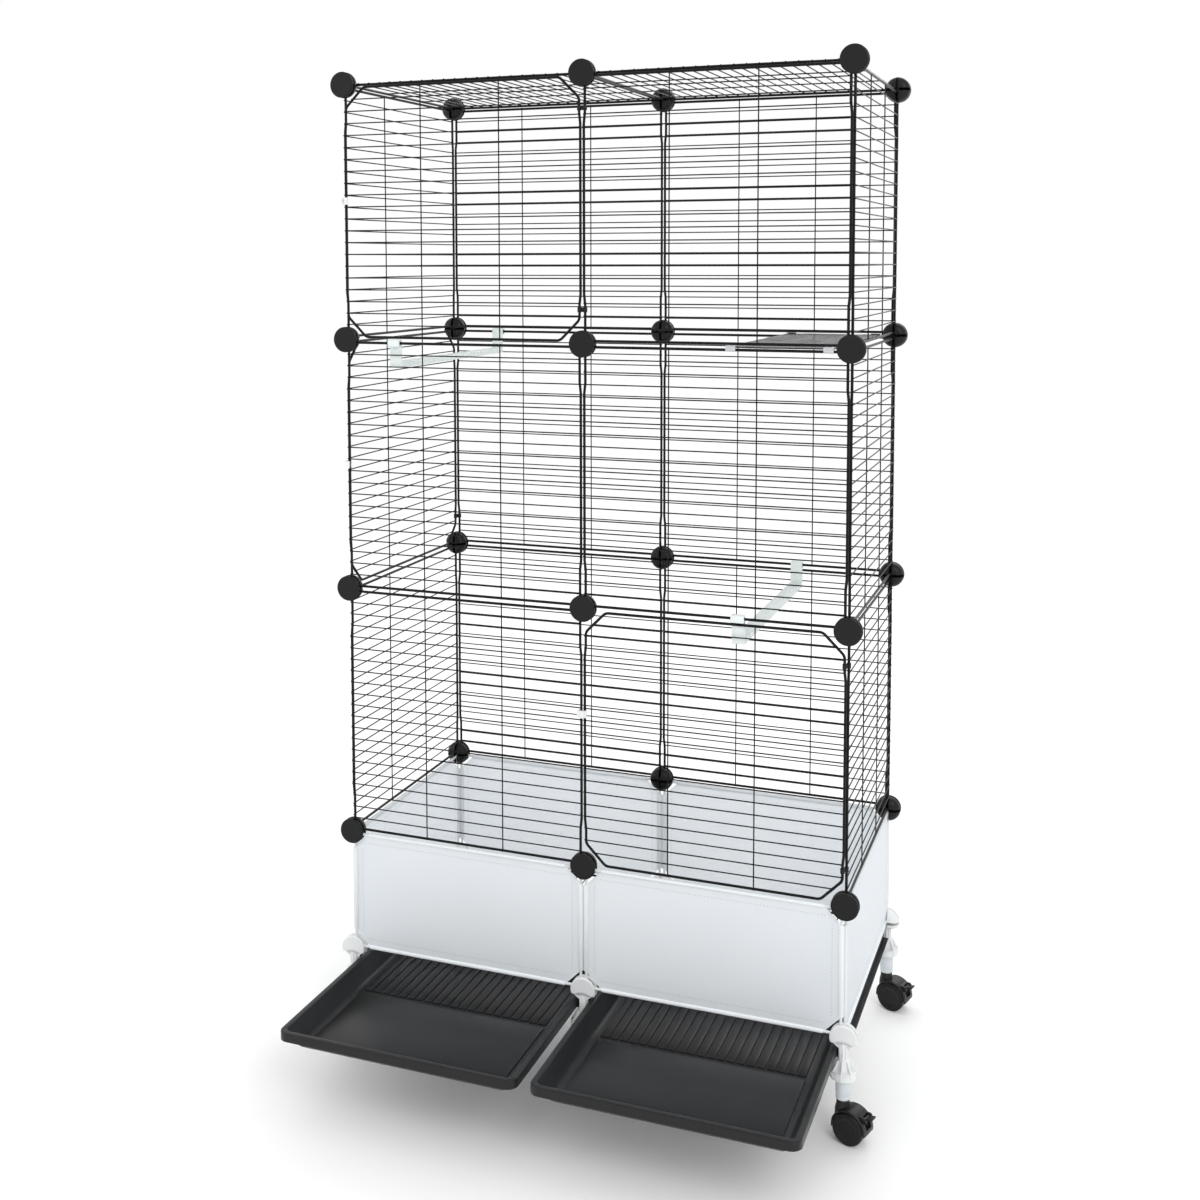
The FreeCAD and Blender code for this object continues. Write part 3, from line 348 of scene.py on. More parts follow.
# Castor sleeves and foot posts: white moulded plastic. The sleeve is a tapered tube pressed into
# the post; the post is half a panel connector on a ribbed neck with a wide ribbed flange.
white_plastic = moulded_plastic("white_plastic", (0.70, 0.72, 0.73, 1), (0.80, 0.81, 0.81, 1), 0.34, 2200)
sleeve_white = moulded_plastic("sleeve_white", (0.62, 0.67, 0.70, 1), (0.70, 0.74, 0.76, 1), 0.38, 2200)
sleeve = lathe("castor_sleeve", [(0.0, 0.0740), (0.0041, 0.0740), (0.0041, 0.0525), (0.0088, 0.0525),
                                 (0.0094, 0.0533), (0.0095, 0.0560), (0.0092, 0.0564), (0.0093, 0.0589),
                                 (0.0096, 0.0593), (0.0099, 0.0800), (0.0094, 0.0809), (0.0059, 0.0809),
                                 (0.0059, 0.0980), (0.0050, 0.0989), (0.0, 0.0989)], 36)
soften(sleeve, 0.0002, segments=1)
dress(sleeve, sleeve_white)
sleeves = join("sleeve_tubes", [copy_to(sleeve, post + "_sleeve", (spot[0], spot[1], 0))
                                for post, spot in post_spots.items()])
bpy.data.objects.remove(sleeve)
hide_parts("castor_sleeves")
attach(sleeves, "cage")


def connector_head(name):
    """A connector facing -Y: a crowned cap, a cross rib and a dome with crossing panel slots."""
    cap = lathe("cap", [(0.0, 0.0020), (0.0176, 0.0020), (0.0179, 0.0024), (0.0180, 0.0039), (0.0177, 0.0046),
                        (0.0171, 0.0051), (0.0160, 0.0053), (0.0148, 0.00525), (0.0, 0.0054)], 48, axis="Y")
    dome = lathe("dome", [(0.0, -0.0020), (0.0177, -0.0020), (0.0180, -0.0024), (0.0180, -0.0050),
                          (0.0175, -0.0074), (0.0163, -0.0098), (0.0146, -0.0119), (0.0122, -0.0137),
                          (0.0090, -0.0147), (0.0, -0.0150)], 48, axis="Y")
    for reach_x, reach_z in ((0.022, 0.002), (0.002, 0.022)):
        carve(dome, bar("slot", (-reach_x, 0.005, -reach_z), (reach_x, 0.03, reach_z)))
    ribs = [bar("rib", (-reach_x, -0.0021, -reach_z), (reach_x, 0.0021, reach_z))
            for reach_x, reach_z in ((0.0169, 0.002), (0.002, 0.0169))]
    soften(dome, 0.0004, segments=2)
    soften(cap, 0.0002, segments=1)
    return join(name, [cap, dome] + ribs)


post_top = 0.132
foot = connector_head("foot_post")
bpy.ops.object.mode_set(mode="EDIT")
bpy.ops.mesh.select_all(action="SELECT")
bpy.ops.mesh.bisect(plane_co=(0, 0, -0.006), plane_no=(0, 0, -1), use_fill=True, clear_outer=True)
bpy.ops.object.mode_set(mode="OBJECT")
neck = lathe("foot_neck", [(0.0, -0.0028), (0.0052, -0.0028), (0.0052, -0.0250), (0.0064, -0.0256),
                           (0.0064, -0.0269), (0.0078, -0.0273), (0.0098, -0.0385), (0.0112, -0.0402),
                           (0.0168, -0.0410), (0.0175, -0.0414), (0.0175, -0.0424), (0.0167, -0.0428),
                           (0.0167, -0.0488), (0.0175, -0.0492), (0.0175, -0.0504), (0.0168, -0.0509),
                           (0.0061, -0.0509), (0.0061, -0.0326), (0.0, -0.0326)], 44)
soften(neck, 0.0003, segments=2)
head_taper = bar("head_taper", (-0.0145, -0.004, -0.012), (0.0145, 0.004, -0.0058))
bpy.ops.object.mode_set(mode="EDIT")
pick(head_taper, "FACE", lambda middle, face: face.normal.z < -0.5)
bpy.ops.transform.resize(value=(0.44, 1, 1))
pick(head_taper, "FACE", lambda middle, face: abs(face.normal.y) > 0.5)
bpy.ops.mesh.inset(thickness=0.0014)
bpy.ops.mesh.extrude_region_shrink_fatten(TRANSFORM_OT_shrink_fatten={"value": -0.0012})
bpy.ops.object.mode_set(mode="OBJECT")
soften(head_taper, 0.0003, segments=2)
neck_rib = bar("neck_rib", (-0.0064, -0.0008, -0.0262), (0.0064, 0.0008, -0.0058))
soften(neck_rib, 0.0003, segments=2)
neck_ribs = [copy_to(neck_rib, "neck_rib_%d" % count, (0, 0, 0), count * math.pi / 4) for count in range(4)]
bpy.data.objects.remove(neck_rib)
flange_rib = bar("flange_rib", (0.0070, -0.0008, -0.0495), (0.0174, 0.0008, -0.0278))
bpy.ops.object.mode_set(mode="EDIT")
pick(flange_rib, "VERT", lambda middle, vertex: middle.x > 0.015 and middle.z > -0.036)
bpy.ops.transform.translate(value=(-0.0081, 0, 0))
bpy.ops.mesh.select_all(action="SELECT")
bpy.ops.mesh.bisect(plane_co=(0, 0, -0.0413), plane_no=(0, 0, 1))
pick(flange_rib, "VERT", lambda middle, vertex: middle.x > 0.011 and abs(middle.z + 0.0413) < 1e-5)
bpy.ops.transform.resize(value=(0, 1, 1), center_override=(0.0174, 0, 0))
bpy.ops.object.mode_set(mode="OBJECT")
soften(flange_rib, 0.0002, segments=1)
flange_ribs = [copy_to(flange_rib, "flange_rib_%d" % count, (0, 0, 0), count * math.pi / 4)
               for count in range(8)]
bpy.data.objects.remove(flange_rib)
foot = join("foot_post", [foot, neck, head_taper] + neck_ribs + flange_ribs)
dress(foot, white_plastic)
feet = join("post_mouldings", [copy_to(foot, post + "_foot", (spot[0], spot[1], post_top),
                                       math.pi if spot[1] > 0 else 0.0) for post, spot in post_spots.items()])
bpy.data.objects.remove(foot)
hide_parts("foot_posts")
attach(feet, "cage")

# Tray runners: strips of dark zinc-plated steel folded into an angle, with eyelets round the
# post necks. They keep the shape that they are folded to.
runner_steel, shader, place = new_finish("runner_steel")
rolled = place.node("ShaderNodeMapping", {}, {"Vector": place, "Scale": (40.0, 3.0, 40.0)}).noise(14.0, 4.0)
connect(shader, Base_Color=rolled.blend((0.030, 0.031, 0.034, 1), (0.070, 0.072, 0.076, 1)), Metallic=0.75,
        Roughness=rolled * 0.2 + 0.34, Normal=bump(rolled, 0.15, 0.0002))
dress(nodes["tray_runners"], runner_steel)

# Droppings trays: two black trays pressed from plastic sheet. The lip turns down all round, the walls
# slope to a floor with a smooth plate in front and a plate of fore-and-aft grooves behind.
tray_half, tray_length = 0.169, 0.360
tray_low, tray_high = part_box("tray_left")
tray_front, tray_back, tray_top = tray_low.y, tray_high.y, tray_high.z
tray_middle = (tray_front + tray_back) / 2
lip_width, tray_slope, tray_depth, plate_rise = 0.008, 0.013, 0.025, 0.0016
bpy.ops.object.select_all(action="DESELECT")
bpy.ops.mesh.primitive_plane_add(size=1, location=(0, tray_middle, tray_top))
tray = bpy.context.object
tray.name = "tray"
tray.scale = (tray_half * 2, tray_length, 1)
bpy.ops.object.transform_apply(location=True, rotation=False, scale=True)
bpy.ops.object.mode_set(mode="EDIT")
bpy.ops.mesh.select_all(action="SELECT")
bpy.ops.mesh.bevel(affect="VERTICES", offset=0.014, segments=8)
bpy.ops.mesh.select_all(action="SELECT")
bpy.ops.mesh.inset(thickness=lip_width)
reach_x, reach_y, depth = tray_half - lip_width, tray_length / 2 - lip_width, 0.0
for next_depth, inward in ((tray_depth * 0.88, tray_slope * 0.88), (tray_depth * 0.97, tray_slope * 0.16),
                           (tray_depth, tray_slope * 0.24), (tray_depth, tray_slope * 0.2)):
    bpy.ops.mesh.extrude_region_move(TRANSFORM_OT_translate={"value": (0, 0, depth - next_depth)})
    bpy.ops.transform.resize(value=(1 - inward / reach_x, 1 - inward / reach_y, 1),
                             center_override=(0, tray_middle, tray_top))
    reach_x, reach_y, depth = reach_x - inward, reach_y - inward, next_depth
pick(tray, "EDGE", lambda middle, edge: len(edge.link_faces) == 1)
bpy.ops.mesh.extrude_region_move(TRANSFORM_OT_translate={"value": (0, 0, -0.0115)})
pick(tray, "EDGE", lambda middle, edge: abs(middle.z - tray_top) < 1e-5 and edge.calc_face_angle(0) > 0.6)
bpy.ops.mesh.bevel(offset=0.0016, segments=4)
bpy.ops.object.mode_set(mode="OBJECT")
use_modifier(tray, "SOLIDIFY", thickness=0.0022, offset=-1)
floor_margin, band_width, groove_count = 0.030, 0.009, 20
plate_half = tray_half - floor_margin
band_y = tray_back - tray_length * 0.52
tray_floor = tray_top - tray_depth
strip_pitch = plate_half * 2 / (groove_count + 1)


def raised_plate(name, low, high):
    """A low flat plate on the tray floor with rounded upper edges."""
    plate = bar(name, low, high)
    bpy.ops.object.mode_set(mode="EDIT")
    pick(plate, "EDGE", lambda middle, edge: middle.z > (low[2] + high[2]) / 2 + 0.0001)
    bpy.ops.mesh.bevel(offset=0.0005, segments=2)
    bpy.ops.object.mode_set(mode="OBJECT")
    return plate


smooth_plate = raised_plate("smooth_plate", (-plate_half, tray_front + floor_margin, tray_floor - 0.0005),
                            (plate_half, band_y, tray_floor + plate_rise))
groove_half = 0.0008
strip = raised_plate("grooved_plate", (-plate_half + groove_half, band_y + band_width, tray_floor - 0.0005),
                     (-plate_half + strip_pitch - groove_half, tray_back - floor_margin * 0.9,
                      tray_floor + plate_rise))
use_modifier(strip, "ARRAY", count=groove_count + 1, use_relative_offset=False, use_constant_offset=True,
             constant_offset_displace=(strip_pitch, 0, 0))
tray = join("tray", [tray, smooth_plate, strip])
work_on(tray)
bpy.ops.object.shade_smooth_by_angle(angle=math.radians(40))
tray_black, shader, place = new_finish("tray_sheet")
drawn = place.noise(6.0, 3.0)
scuffed = place.noise(70.0, 4.0)
connect(shader, Base_Color=drawn.blend((0.006, 0.0061, 0.0067, 1), (0.010, 0.0102, 0.0111, 1)),
        Roughness=scuffed * 0.08 + 0.26, Normal=bump(scuffed, 0.04, 0.0002), Specular_IOR_Level=0.3)
dress(tray, tray_black)
for tray_side, tray_x in (("left", -0.1775), ("right", 0.1775)):
    pressed = copy_to(tray, "pressed_tray_" + tray_side, (tray_x, 0, 0))
    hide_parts("tray_" + tray_side)
    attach(pressed, "tray_" + tray_side)
bpy.data.objects.remove(tray)

# Skirt panels: six pale plastic sheets round the foot of the cage. Each edge is folded round a white
# steel wire and welded with a row of dots; the corners are cut away round the connectors.
skirt_half, skirt_rise, skirt_cut = 0.1735, 0.083, 0.022
skirt_z = 0.219
bpy.ops.object.select_all(action="DESELECT")
bpy.ops.mesh.primitive_grid_add(x_subdivisions=56, y_subdivisions=28, size=1)
skirt = bpy.context.object
skirt.name = "skirt"
skirt.scale = (skirt_half * 2, skirt_rise * 2, 1)
skirt.rotation_euler = (math.radians(90), 0, 0)
bpy.ops.object.transform_apply(location=False, rotation=True, scale=True)
bpy.ops.object.mode_set(mode="EDIT")
for toward_x in (-1, 1):
    for toward_z in (-1, 1):
        bpy.ops.mesh.select_all(action="SELECT")
        bpy.ops.mesh.bisect(plane_co=(toward_x * (skirt_half - skirt_cut), 0, toward_z * skirt_rise),
                            plane_no=(toward_x, 0, toward_z), clear_outer=True)
bpy.ops.object.mode_set(mode="OBJECT")
sag = bpy.data.textures.new("sheet_sag", "CLOUDS")
sag.noise_scale = 0.16
use_modifier(skirt, "DISPLACE", texture=sag, strength=0.0022, mid_level=0.5, direction="Y",
             texture_coords="LOCAL")
use_modifier(skirt, "SOLIDIFY", thickness=0.0012, offset=0)


def round_wire(name, length, radius, sides, along):
    """A straight wire with rounded ends, lying through the origin along X or Z."""
    turn = (0, math.radians(90), 0) if along == "X" else (0, 0, 0)
    bpy.ops.object.select_all(action="DESELECT")
    bpy.ops.mesh.primitive_cylinder_add(vertices=sides, radius=radius, depth=length, rotation=turn)
    made = bpy.context.object
    made.name = name
    bpy.ops.object.transform_apply(location=False, rotation=True, scale=False)
    bpy.ops.object.mode_set(mode="EDIT")
    reach = length / 2 - 1e-6
    pick(made, "EDGE", lambda middle, edge: all(
        abs(corner.co.x if along == "X" else corner.co.z) > reach for corner in edge.verts))
    bpy.ops.mesh.bevel(offset=radius * 0.6, segments=2)
    bpy.ops.object.mode_set(mode="OBJECT")
    return made


hems = []
for hem_along, hem_length, hem_places in (
        ("X", (skirt_half - skirt_cut) * 2, [(0, 0, -skirt_rise), (0, 0, skirt_rise)]),
        ("Z", (skirt_rise - skirt_cut) * 2, [(-skirt_half, 0, 0), (skirt_half, 0, 0)])):
    roll = round_wire("hem_roll", hem_length, 0.00264, 14, hem_along)
    if hem_along == "Z":
        roll.scale = (1.4, 1, 1)
        bpy.ops.object.transform_apply(location=False, rotation=False, scale=True)
    hems += [copy_to(roll, "hem", place) for place in hem_places]
    bpy.data.objects.remove(roll)
skirt = join("skirt", [skirt] + hems)
work_on(skirt)
bpy.ops.object.shade_smooth_by_angle(angle=math.radians(45))
sheet_map = skirt.data.uv_layers.new(name="sheet_place")
for loop in skirt.data.loops:
    corner = skirt.data.vertices[loop.vertex_index].co
    sheet_map.data[loop.index].uv = (corner.x, corner.z)
for layer in [layer for layer in skirt.data.uv_layers if layer.name != "sheet_place"]:
    skirt.data.uv_layers.remove(layer)

skirt_white, shader, place = new_finish("skirt_sheet")
flat = place.node("ShaderNodeUVMap", {"uv_map": "sheet_place"}, {})
across = flat.node("ShaderNodeSeparateXYZ", {}, {0: flat}, 0)
upward = flat.node("ShaderNodeSeparateXYZ", {}, {0: flat}, 1)


def weld_row(along, aside, seam_place, row_end):
    """A row of small round weld dots along one straight seam and its mirror image."""
    dot_pitch, dot_radius = 0.0044, 0.0011
    off_line = aside.math("ABSOLUTE", aside.math("ABSOLUTE", aside, 0.0) - seam_place, 0.0)
    phase = along.math("FRACT", along * (1 / dot_pitch), 0.0)
    off_dot = phase.math("ABSOLUTE", phase - 0.5, 0.0) * dot_pitch
    distance = off_line.math("SQRT", off_line * off_line + off_dot * off_dot, 0.0)
    inside = along.math("LESS_THAN", along.math("ABSOLUTE", along, 0.0), row_end)
    return distance.math("LESS_THAN", distance, dot_radius) * inside


weld = weld_row(across, upward, skirt_rise - 0.012, skirt_half - 0.020)
weld = weld.math("MAXIMUM", weld, weld_row(upward, across, skirt_half - 0.012, skirt_rise - 0.020))
grain = place.noise(900.0, 2.0)
cloud = place.noise(7.0, 3.0)
sheet_colour = cloud.blend((0.845, 0.875, 0.90, 1), (0.89, 0.915, 0.935, 1))
connect(shader, Base_Color=(weld * 0.6).blend(sheet_colour, (0.42, 0.47, 0.51, 1)),
        Roughness=grain * 0.1 + 0.40, Normal=bump(grain * 0.12 - weld, 0.35, 0.0006))
glow = place.node("ShaderNodeBsdfTranslucent", {}, {"Color": (0.97, 0.985, 1.0, 1)})
hem_reach = 0.004
on_hem = across.math("GREATER_THAN", across.math("ABSOLUTE", across, 0.0), skirt_half - hem_reach)
on_hem = on_hem.math("MAXIMUM", on_hem, upward.math(
    "GREATER_THAN", upward.math("ABSOLUTE", upward, 0.0), skirt_rise - hem_reach))
sheet_surface = place.node("ShaderNodeMixShader", {}, {
    0: on_hem * -0.45 + 0.5, 1: Value(place.tree, shader.outputs[0]), 2: glow})
connect(place.tree.nodes["Material Output"], Surface=sheet_surface)
dress(skirt, skirt_white)
skirt_spots = {"front_skirt_left": (-0.1775, -0.1805, 0), "front_skirt_right": (0.1775, -0.1805, 0),
               "back_skirt_left": (-0.1775, 0.1805, 180), "back_skirt_right": (0.1775, 0.1805, 180),
               "left_skirt": (-0.355, 0.0, -90), "right_skirt": (0.355, 0.0, 90)}
for node, (skirt_x, skirt_y, facing) in skirt_spots.items():
    sheet = copy_to(skirt, node + "_folded", (skirt_x, skirt_y, skirt_z), math.radians(facing))
    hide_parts(node)
    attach(sheet, "cage")
bpy.data.objects.remove(skirt)
white_wire = moulded_plastic("white_wire", (0.66, 0.68, 0.69, 1), (0.78, 0.79, 0.79, 1), 0.3, 1400)
dress(nodes["skirt_frames"], white_wire)

# Wire panels: squares of steel wire, powder-coated black. A thick frame wire is bent round and welded
# shut; twenty close level wires lie on its outer side with two uprights behind them.
panel_half, frame_radius, mesh_radius, mesh_out = 0.1735, 0.0019, 0.0009, 0.0016
mesh_pitch = panel_half * 2 / 21
frame_bow, bow_full, bow_start = 0.0015, 0.112, 0.126


def frame_loop(name, corner_cut):
    """A closed loop of round frame wire, square or with its corners cut off."""
    bpy.ops.object.select_all(action="DESELECT")
    bpy.ops.mesh.primitive_plane_add(size=panel_half * 2, rotation=(math.radians(90), 0, 0))
    made = bpy.context.object
    made.name = name
    bpy.ops.object.transform_apply(location=False, rotation=True, scale=False)
    bpy.ops.object.mode_set(mode="EDIT")
    bpy.ops.mesh.select_all(action="SELECT")
    if corner_cut:
        bpy.ops.mesh.bevel(affect="VERTICES", offset=corner_cut, segments=1)
        bpy.ops.mesh.select_all(action="SELECT")
    bpy.ops.mesh.bevel(affect="VERTICES", offset=0.004, segments=4)
    for lift in (-bow_start, -bow_full, bow_full, bow_start):
        bpy.ops.mesh.select_all(action="SELECT")
        bpy.ops.mesh.bisect(plane_co=(0, 0, lift), plane_no=(0, 0, 1))
    for toward in (-1, 1):
        pick(made, "VERT", lambda middle, vertex: middle.x * toward > 0 and abs(middle.z) < bow_full + 0.001)
        bpy.ops.transform.translate(value=(toward * frame_bow, 0, 0))
    bpy.ops.mesh.select_all(action="SELECT")
    bpy.ops.mesh.delete(type="ONLY_FACE")
    pick(made, "EDGE", lambda middle, edge: abs(middle.x) < 0.001 and abs(middle.z) < bow_start + 0.001)
    bpy.ops.mesh.delete(type="EDGE")
    bpy.ops.object.mode_set(mode="OBJECT")
    bpy.ops.object.convert(target="CURVE")
    made = bpy.context.object
    made.data.bevel_depth = frame_radius
    made.data.bevel_resolution = 2
    made.data.use_fill_caps = False
    bpy.ops.object.convert(target="MESH")
    return bpy.context.object


def wire_panel(name, corner_cut):
    """A whole panel standing at the origin with its outer side towards -Y."""
    parts = [frame_loop("frame_wire", corner_cut)]
    spare_end = 0.0021
    reaches = {"edge_row": panel_half - max(corner_cut - mesh_pitch, 0.0), "near_row": panel_half,
               "middle_row": panel_half + frame_bow}
    for row, reach in reaches.items():
        level = round_wire(row, (reach + spare_end) * 2, mesh_radius, 8, "X")
        for count in range(1, 21):
            from_edge = min(count, 21 - count)
            if row == ("edge_row" if from_edge == 1 else "near_row" if from_edge < 4 else "middle_row"):
                lift = -panel_half + count * mesh_pitch
                parts.append(copy_to(level, "level_wire", (0, -mesh_out, lift)))
        bpy.data.objects.remove(level)
    upright = round_wire("upright_wire", (panel_half + spare_end) * 2, mesh_radius, 8, "Z")
    for upright_x in (-0.0583, 0.0583):
        parts.append(copy_to(upright, "upright_wire", (upright_x, -mesh_out + 0.0014, 0)))
    bpy.data.objects.remove(upright)
    made = join(name, parts)
    work_on(made)
    bpy.ops.object.shade_smooth_by_angle(angle=math.radians(60))
    return made


black_wire, shader, place = new_finish("powder_coat_black")
orange_peel = place.noise(1100.0, 3.0)
wear = place.noise(60.0, 4.0)
connect(shader, Base_Color=wear.blend((0.0018, 0.0019, 0.0021, 1), (0.0045, 0.0047, 0.0052, 1)),
        Roughness=wear * 0.16 + 0.24, Normal=bump(orange_peel, 0.2, 0.0002), Specular_IOR_Level=0.18)
grid = wire_panel("grid_panel", 0.0)
door = wire_panel("door_panel", 0.028)
for panel in (grid, door):
    dress(panel, black_wire)
tier_lift = {"low": 0.4835, "middle": 0.8385, "top": 1.1935}
half_pitch, face_y, side_x = 0.1775, 0.1805, 0.355
panel_spots = {"front_grid_top_right": (half_pitch, -face_y, "top", 0),
               "front_grid_middle_left": (-half_pitch, -face_y, "middle", 0),
               "front_grid_middle_right": (half_pitch, -face_y, "middle", 0),
               "front_grid_low_left": (-half_pitch, -face_y, "low", 0),
               "left_grid_top": (-side_x, 0.0, "top", -90), "left_grid_low": (-side_x, 0.0, "low", -90)}
for tier in tier_lift:
    panel_spots["back_grid_%s_left" % tier] = (-half_pitch, face_y, tier, 180)
    panel_spots["back_grid_%s_right" % tier] = (half_pitch, face_y, tier, 180)
    panel_spots["right_grid_%s" % tier] = (side_x, 0.0, tier, 90)
for node, (panel_x, panel_y, tier, facing) in panel_spots.items():
    panel = copy_to(grid, node + "_wires", (panel_x, panel_y, tier_lift[tier]), math.radians(facing))
    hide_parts(node)
    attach(panel, "cage")

# Roof and floor: two more of the same panels lying flat in each, close wires running front to back.
for node, level in (("roof_grids", 1.371), ("floor_grids", post_top)):
    laid = []
    for panel_x in (-half_pitch, half_pitch):
        flat_panel = copy_to(grid, "laid_panel", (0, 0, 0), 0.0, (0.0, math.radians(90)))
        laid.append(copy_to(flat_panel, node + "_half", (panel_x, 0, level), 0.0, (math.radians(-90), 0.0)))
        bpy.data.objects.remove(flat_panel)
    panel = join(node + "_wires", laid)
    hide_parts(node)
    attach(panel, "cage")

# Doors: three panels with cut corners, one at the top left of the front, one at its low right
# and one in the middle of the left side. Each turns in two clips.
for node, place, facing in (("front_door_top", (-half_pitch, -face_y, tier_lift["top"]), 0),
                            ("front_door_low", (half_pitch, -face_y, tier_lift["low"]), 0),
                            ("side_door", (-side_x, 0.0, tier_lift["middle"]), -90)):
    panel = copy_to(door, node + "_wires", place, math.radians(facing))
    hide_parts(node)
    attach(panel, node)
for master in (grid, door):
    bpy.data.objects.remove(master)

# Panel connectors: 24 black moulded knobs that grip the frame wires of up to six panels
# between a crowned outer cap and a slotted inner dome.
connector_black = moulded_plastic("connector_black", (0.005, 0.0052, 0.0057, 1), (0.009, 0.0094, 0.0102, 1),
                                  0.36, 2000, 0.22)
connector = connector_head("connector")
dress(connector, connector_black)
heads = []
for knob_x in (-side_x, 0.0, side_x):
    for knob_z in (0.306, 0.661, 1.016, 1.371):
        heads.append(copy_to(connector, "front_head", (knob_x, -face_y, knob_z)))
        heads.append(copy_to(connector, "back_head", (knob_x, face_y, knob_z), math.pi))
bpy.data.objects.remove(connector)
knobs = join("connector_heads", heads)
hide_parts("panel_connectors")
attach(knobs, "cage")

# Door clips and latches: small snap mouldings. The black clips join a door's edge wire to its
# neighbour; a white latch turns on the door's free edge and snaps over the next wire.
latch_white = moulded_plastic("latch_white", (0.72, 0.74, 0.74, 1), (0.82, 0.83, 0.82, 1), 0.35, 2400)
wire_bore, clip_half, latch_half = 0.00197, 0.0034, 0.0050
frame_gap, setback = 0.004, 0.007


def wire_ring(name, wall, half):
    """A short tube that turns on a frame wire, its outer rims rounded."""
    outer, rim = wire_bore + wall, wall * 0.4
    return lathe(name, [(wire_bore, -half), (outer - rim, -half), (outer, rim - half), (outer, half - rim),
                        (outer - rim, half), (wire_bore, half), (wire_bore, -half)], 24)


def hinge_clip(name, aside, behind):
    """Two rings and a waisted bridge: one ring grips the fixed wire, the door's wire turns in the other."""
    span = math.hypot(aside, behind)
    bridge = bar("clip_bridge", (0.0023, -0.0009, -clip_half + 0.0004),
                 (span - 0.0023, 0.0009, clip_half - 0.0004))
    soften(bridge, 0.0003, segments=2)
    turned_bridge = copy_to(bridge, "clip_bridge_set", (0, 0, 0), math.atan2(behind, aside))
    bpy.data.objects.remove(bridge)
    ring = wire_ring("clip_ring", 0.0009, clip_half)
    made = join(name, [ring, copy_to(ring, "fixed_ring", (aside, behind, 0)), turned_bridge])
    soften(made, 0.0001, segments=1)
    return made


clip_level = hinge_clip("hinge_clip_level", frame_gap * 2, 0.0)
clip_corner = hinge_clip("hinge_clip_corner", frame_gap, setback)
clips = []
for clip, clip_x, clip_y, clip_tier in ((clip_level, -frame_gap, -face_y, "top"),
                                        (clip_corner, side_x - frame_gap, -face_y, "low"),
                                        (clip_corner, -side_x, face_y - setback, "middle")):
    for lift in (-mesh_pitch * 8, mesh_pitch * 8):
        clips.append(copy_to(clip, "door_clip", (clip_x, clip_y, tier_lift[clip_tier] + lift)))
for master in (clip_level, clip_corner):
    bpy.data.objects.remove(master)
snap_clips = join("snap_clips", clips)
dress(snap_clips, connector_black)
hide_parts("door_hinge_clips")
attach(snap_clips, "cage")


def latch_moulding(name, aside, behind):
    """A ring on the door's wire with a ribbed thumb plate and a finger that snaps past the next wire."""
    finger_in, finger_out = aside + 0.00225, aside + 0.00475
    arm_in, arm_out = behind - 0.00225, behind - 0.00515
    made = bar(name, (0, arm_out, -latch_half), (finger_out, arm_in, latch_half))
    finger = bar("finger", (finger_in, arm_out, -latch_half), (finger_out, behind + 0.0015, latch_half))
    carve(made, finger, "UNION")
    carve(made, lathe("ring_blank", [(0.0, -latch_half), (0.0027, -latch_half), (0.0027, latch_half),
                                     (0.0, latch_half)], 28), "UNION")
    for count in range(5):
        rib_z = (count - 2) * 0.0017
        carve(made, bar("thumb_groove", (finger_out * 0.35, arm_out - 0.001, rib_z - 0.0003),
                        (finger_out * 0.9, arm_out + 0.0004, rib_z + 0.0003)))
    carve(made, lathe("ring_bore", [(0.0, -0.02), (wire_bore, -0.02), (wire_bore, 0.02), (0.0, 0.02)], 28))
    soften(made, 0.0005, segments=3)
    dress(made, latch_white)
    return made


bowed_gap, bowed_setback = frame_gap - frame_bow, setback - frame_bow
for node, aside, behind, place, turn in (
        ("latch_front_top", bowed_gap, bowed_setback,
         (bowed_gap - side_x, -face_y, tier_lift["top"] + mesh_pitch), (0, math.pi, 0)),
        ("latch_front_low", bowed_gap * 2, 0.0,
         (bowed_gap, -face_y, tier_lift["low"] + mesh_pitch * 2), (0, math.pi, 0)),
        ("latch_side", bowed_setback, bowed_gap, (-side_x, bowed_setback - face_y, tier_lift["middle"]),
         (0, 0, -math.pi / 2))):
    catch = latch_moulding("latch", aside, behind)
    hung = copy_to(catch, node + "_moulded", place, turn[2], turn[:2])
    bpy.data.objects.remove(catch)
    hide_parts(node)
    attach(hung, node)

# Perches: two bars of pale green-white plastic that hook over the frame wires, front and back.
# Each is one moulding of even width with rounded edges.
perch_pale = moulded_plastic("perch_pale", (0.66, 0.74, 0.73, 1), (0.75, 0.80, 0.79, 1), 0.38, 1800)


def profile_piece(name, outline, low_x, high_x):
    """A piece of even section: its outline, as Y and Z, is drawn, filled and pushed out along X."""
    bpy.ops.object.select_all(action="DESELECT")
    bpy.ops.mesh.primitive_plane_add(size=0.001)
    made = bpy.context.object
    made.name = name
    bpy.ops.object.mode_set(mode="EDIT")
    bpy.ops.mesh.select_mode(type="VERT")
    bpy.ops.mesh.select_all(action="SELECT")
    bpy.ops.mesh.merge(type="CENTER")
    along, lift = outline[0]
    bpy.ops.transform.translate(value=(low_x, along, lift))
    for next_along, next_lift in outline[1:]:
        step = (0, next_along - along, next_lift - lift)
        bpy.ops.mesh.extrude_region_move(TRANSFORM_OT_translate={"value": step})
        along, lift = next_along, next_lift
    bpy.ops.mesh.select_all(action="SELECT")
    bpy.ops.mesh.edge_face_add()
    bpy.ops.mesh.extrude_region_move(TRANSFORM_OT_translate={"value": (high_x - low_x, 0, 0)})
    bpy.ops.mesh.select_all(action="SELECT")
    bpy.ops.mesh.normals_make_consistent(inside=False)
    bpy.ops.object.mode_set(mode="OBJECT")
    return made


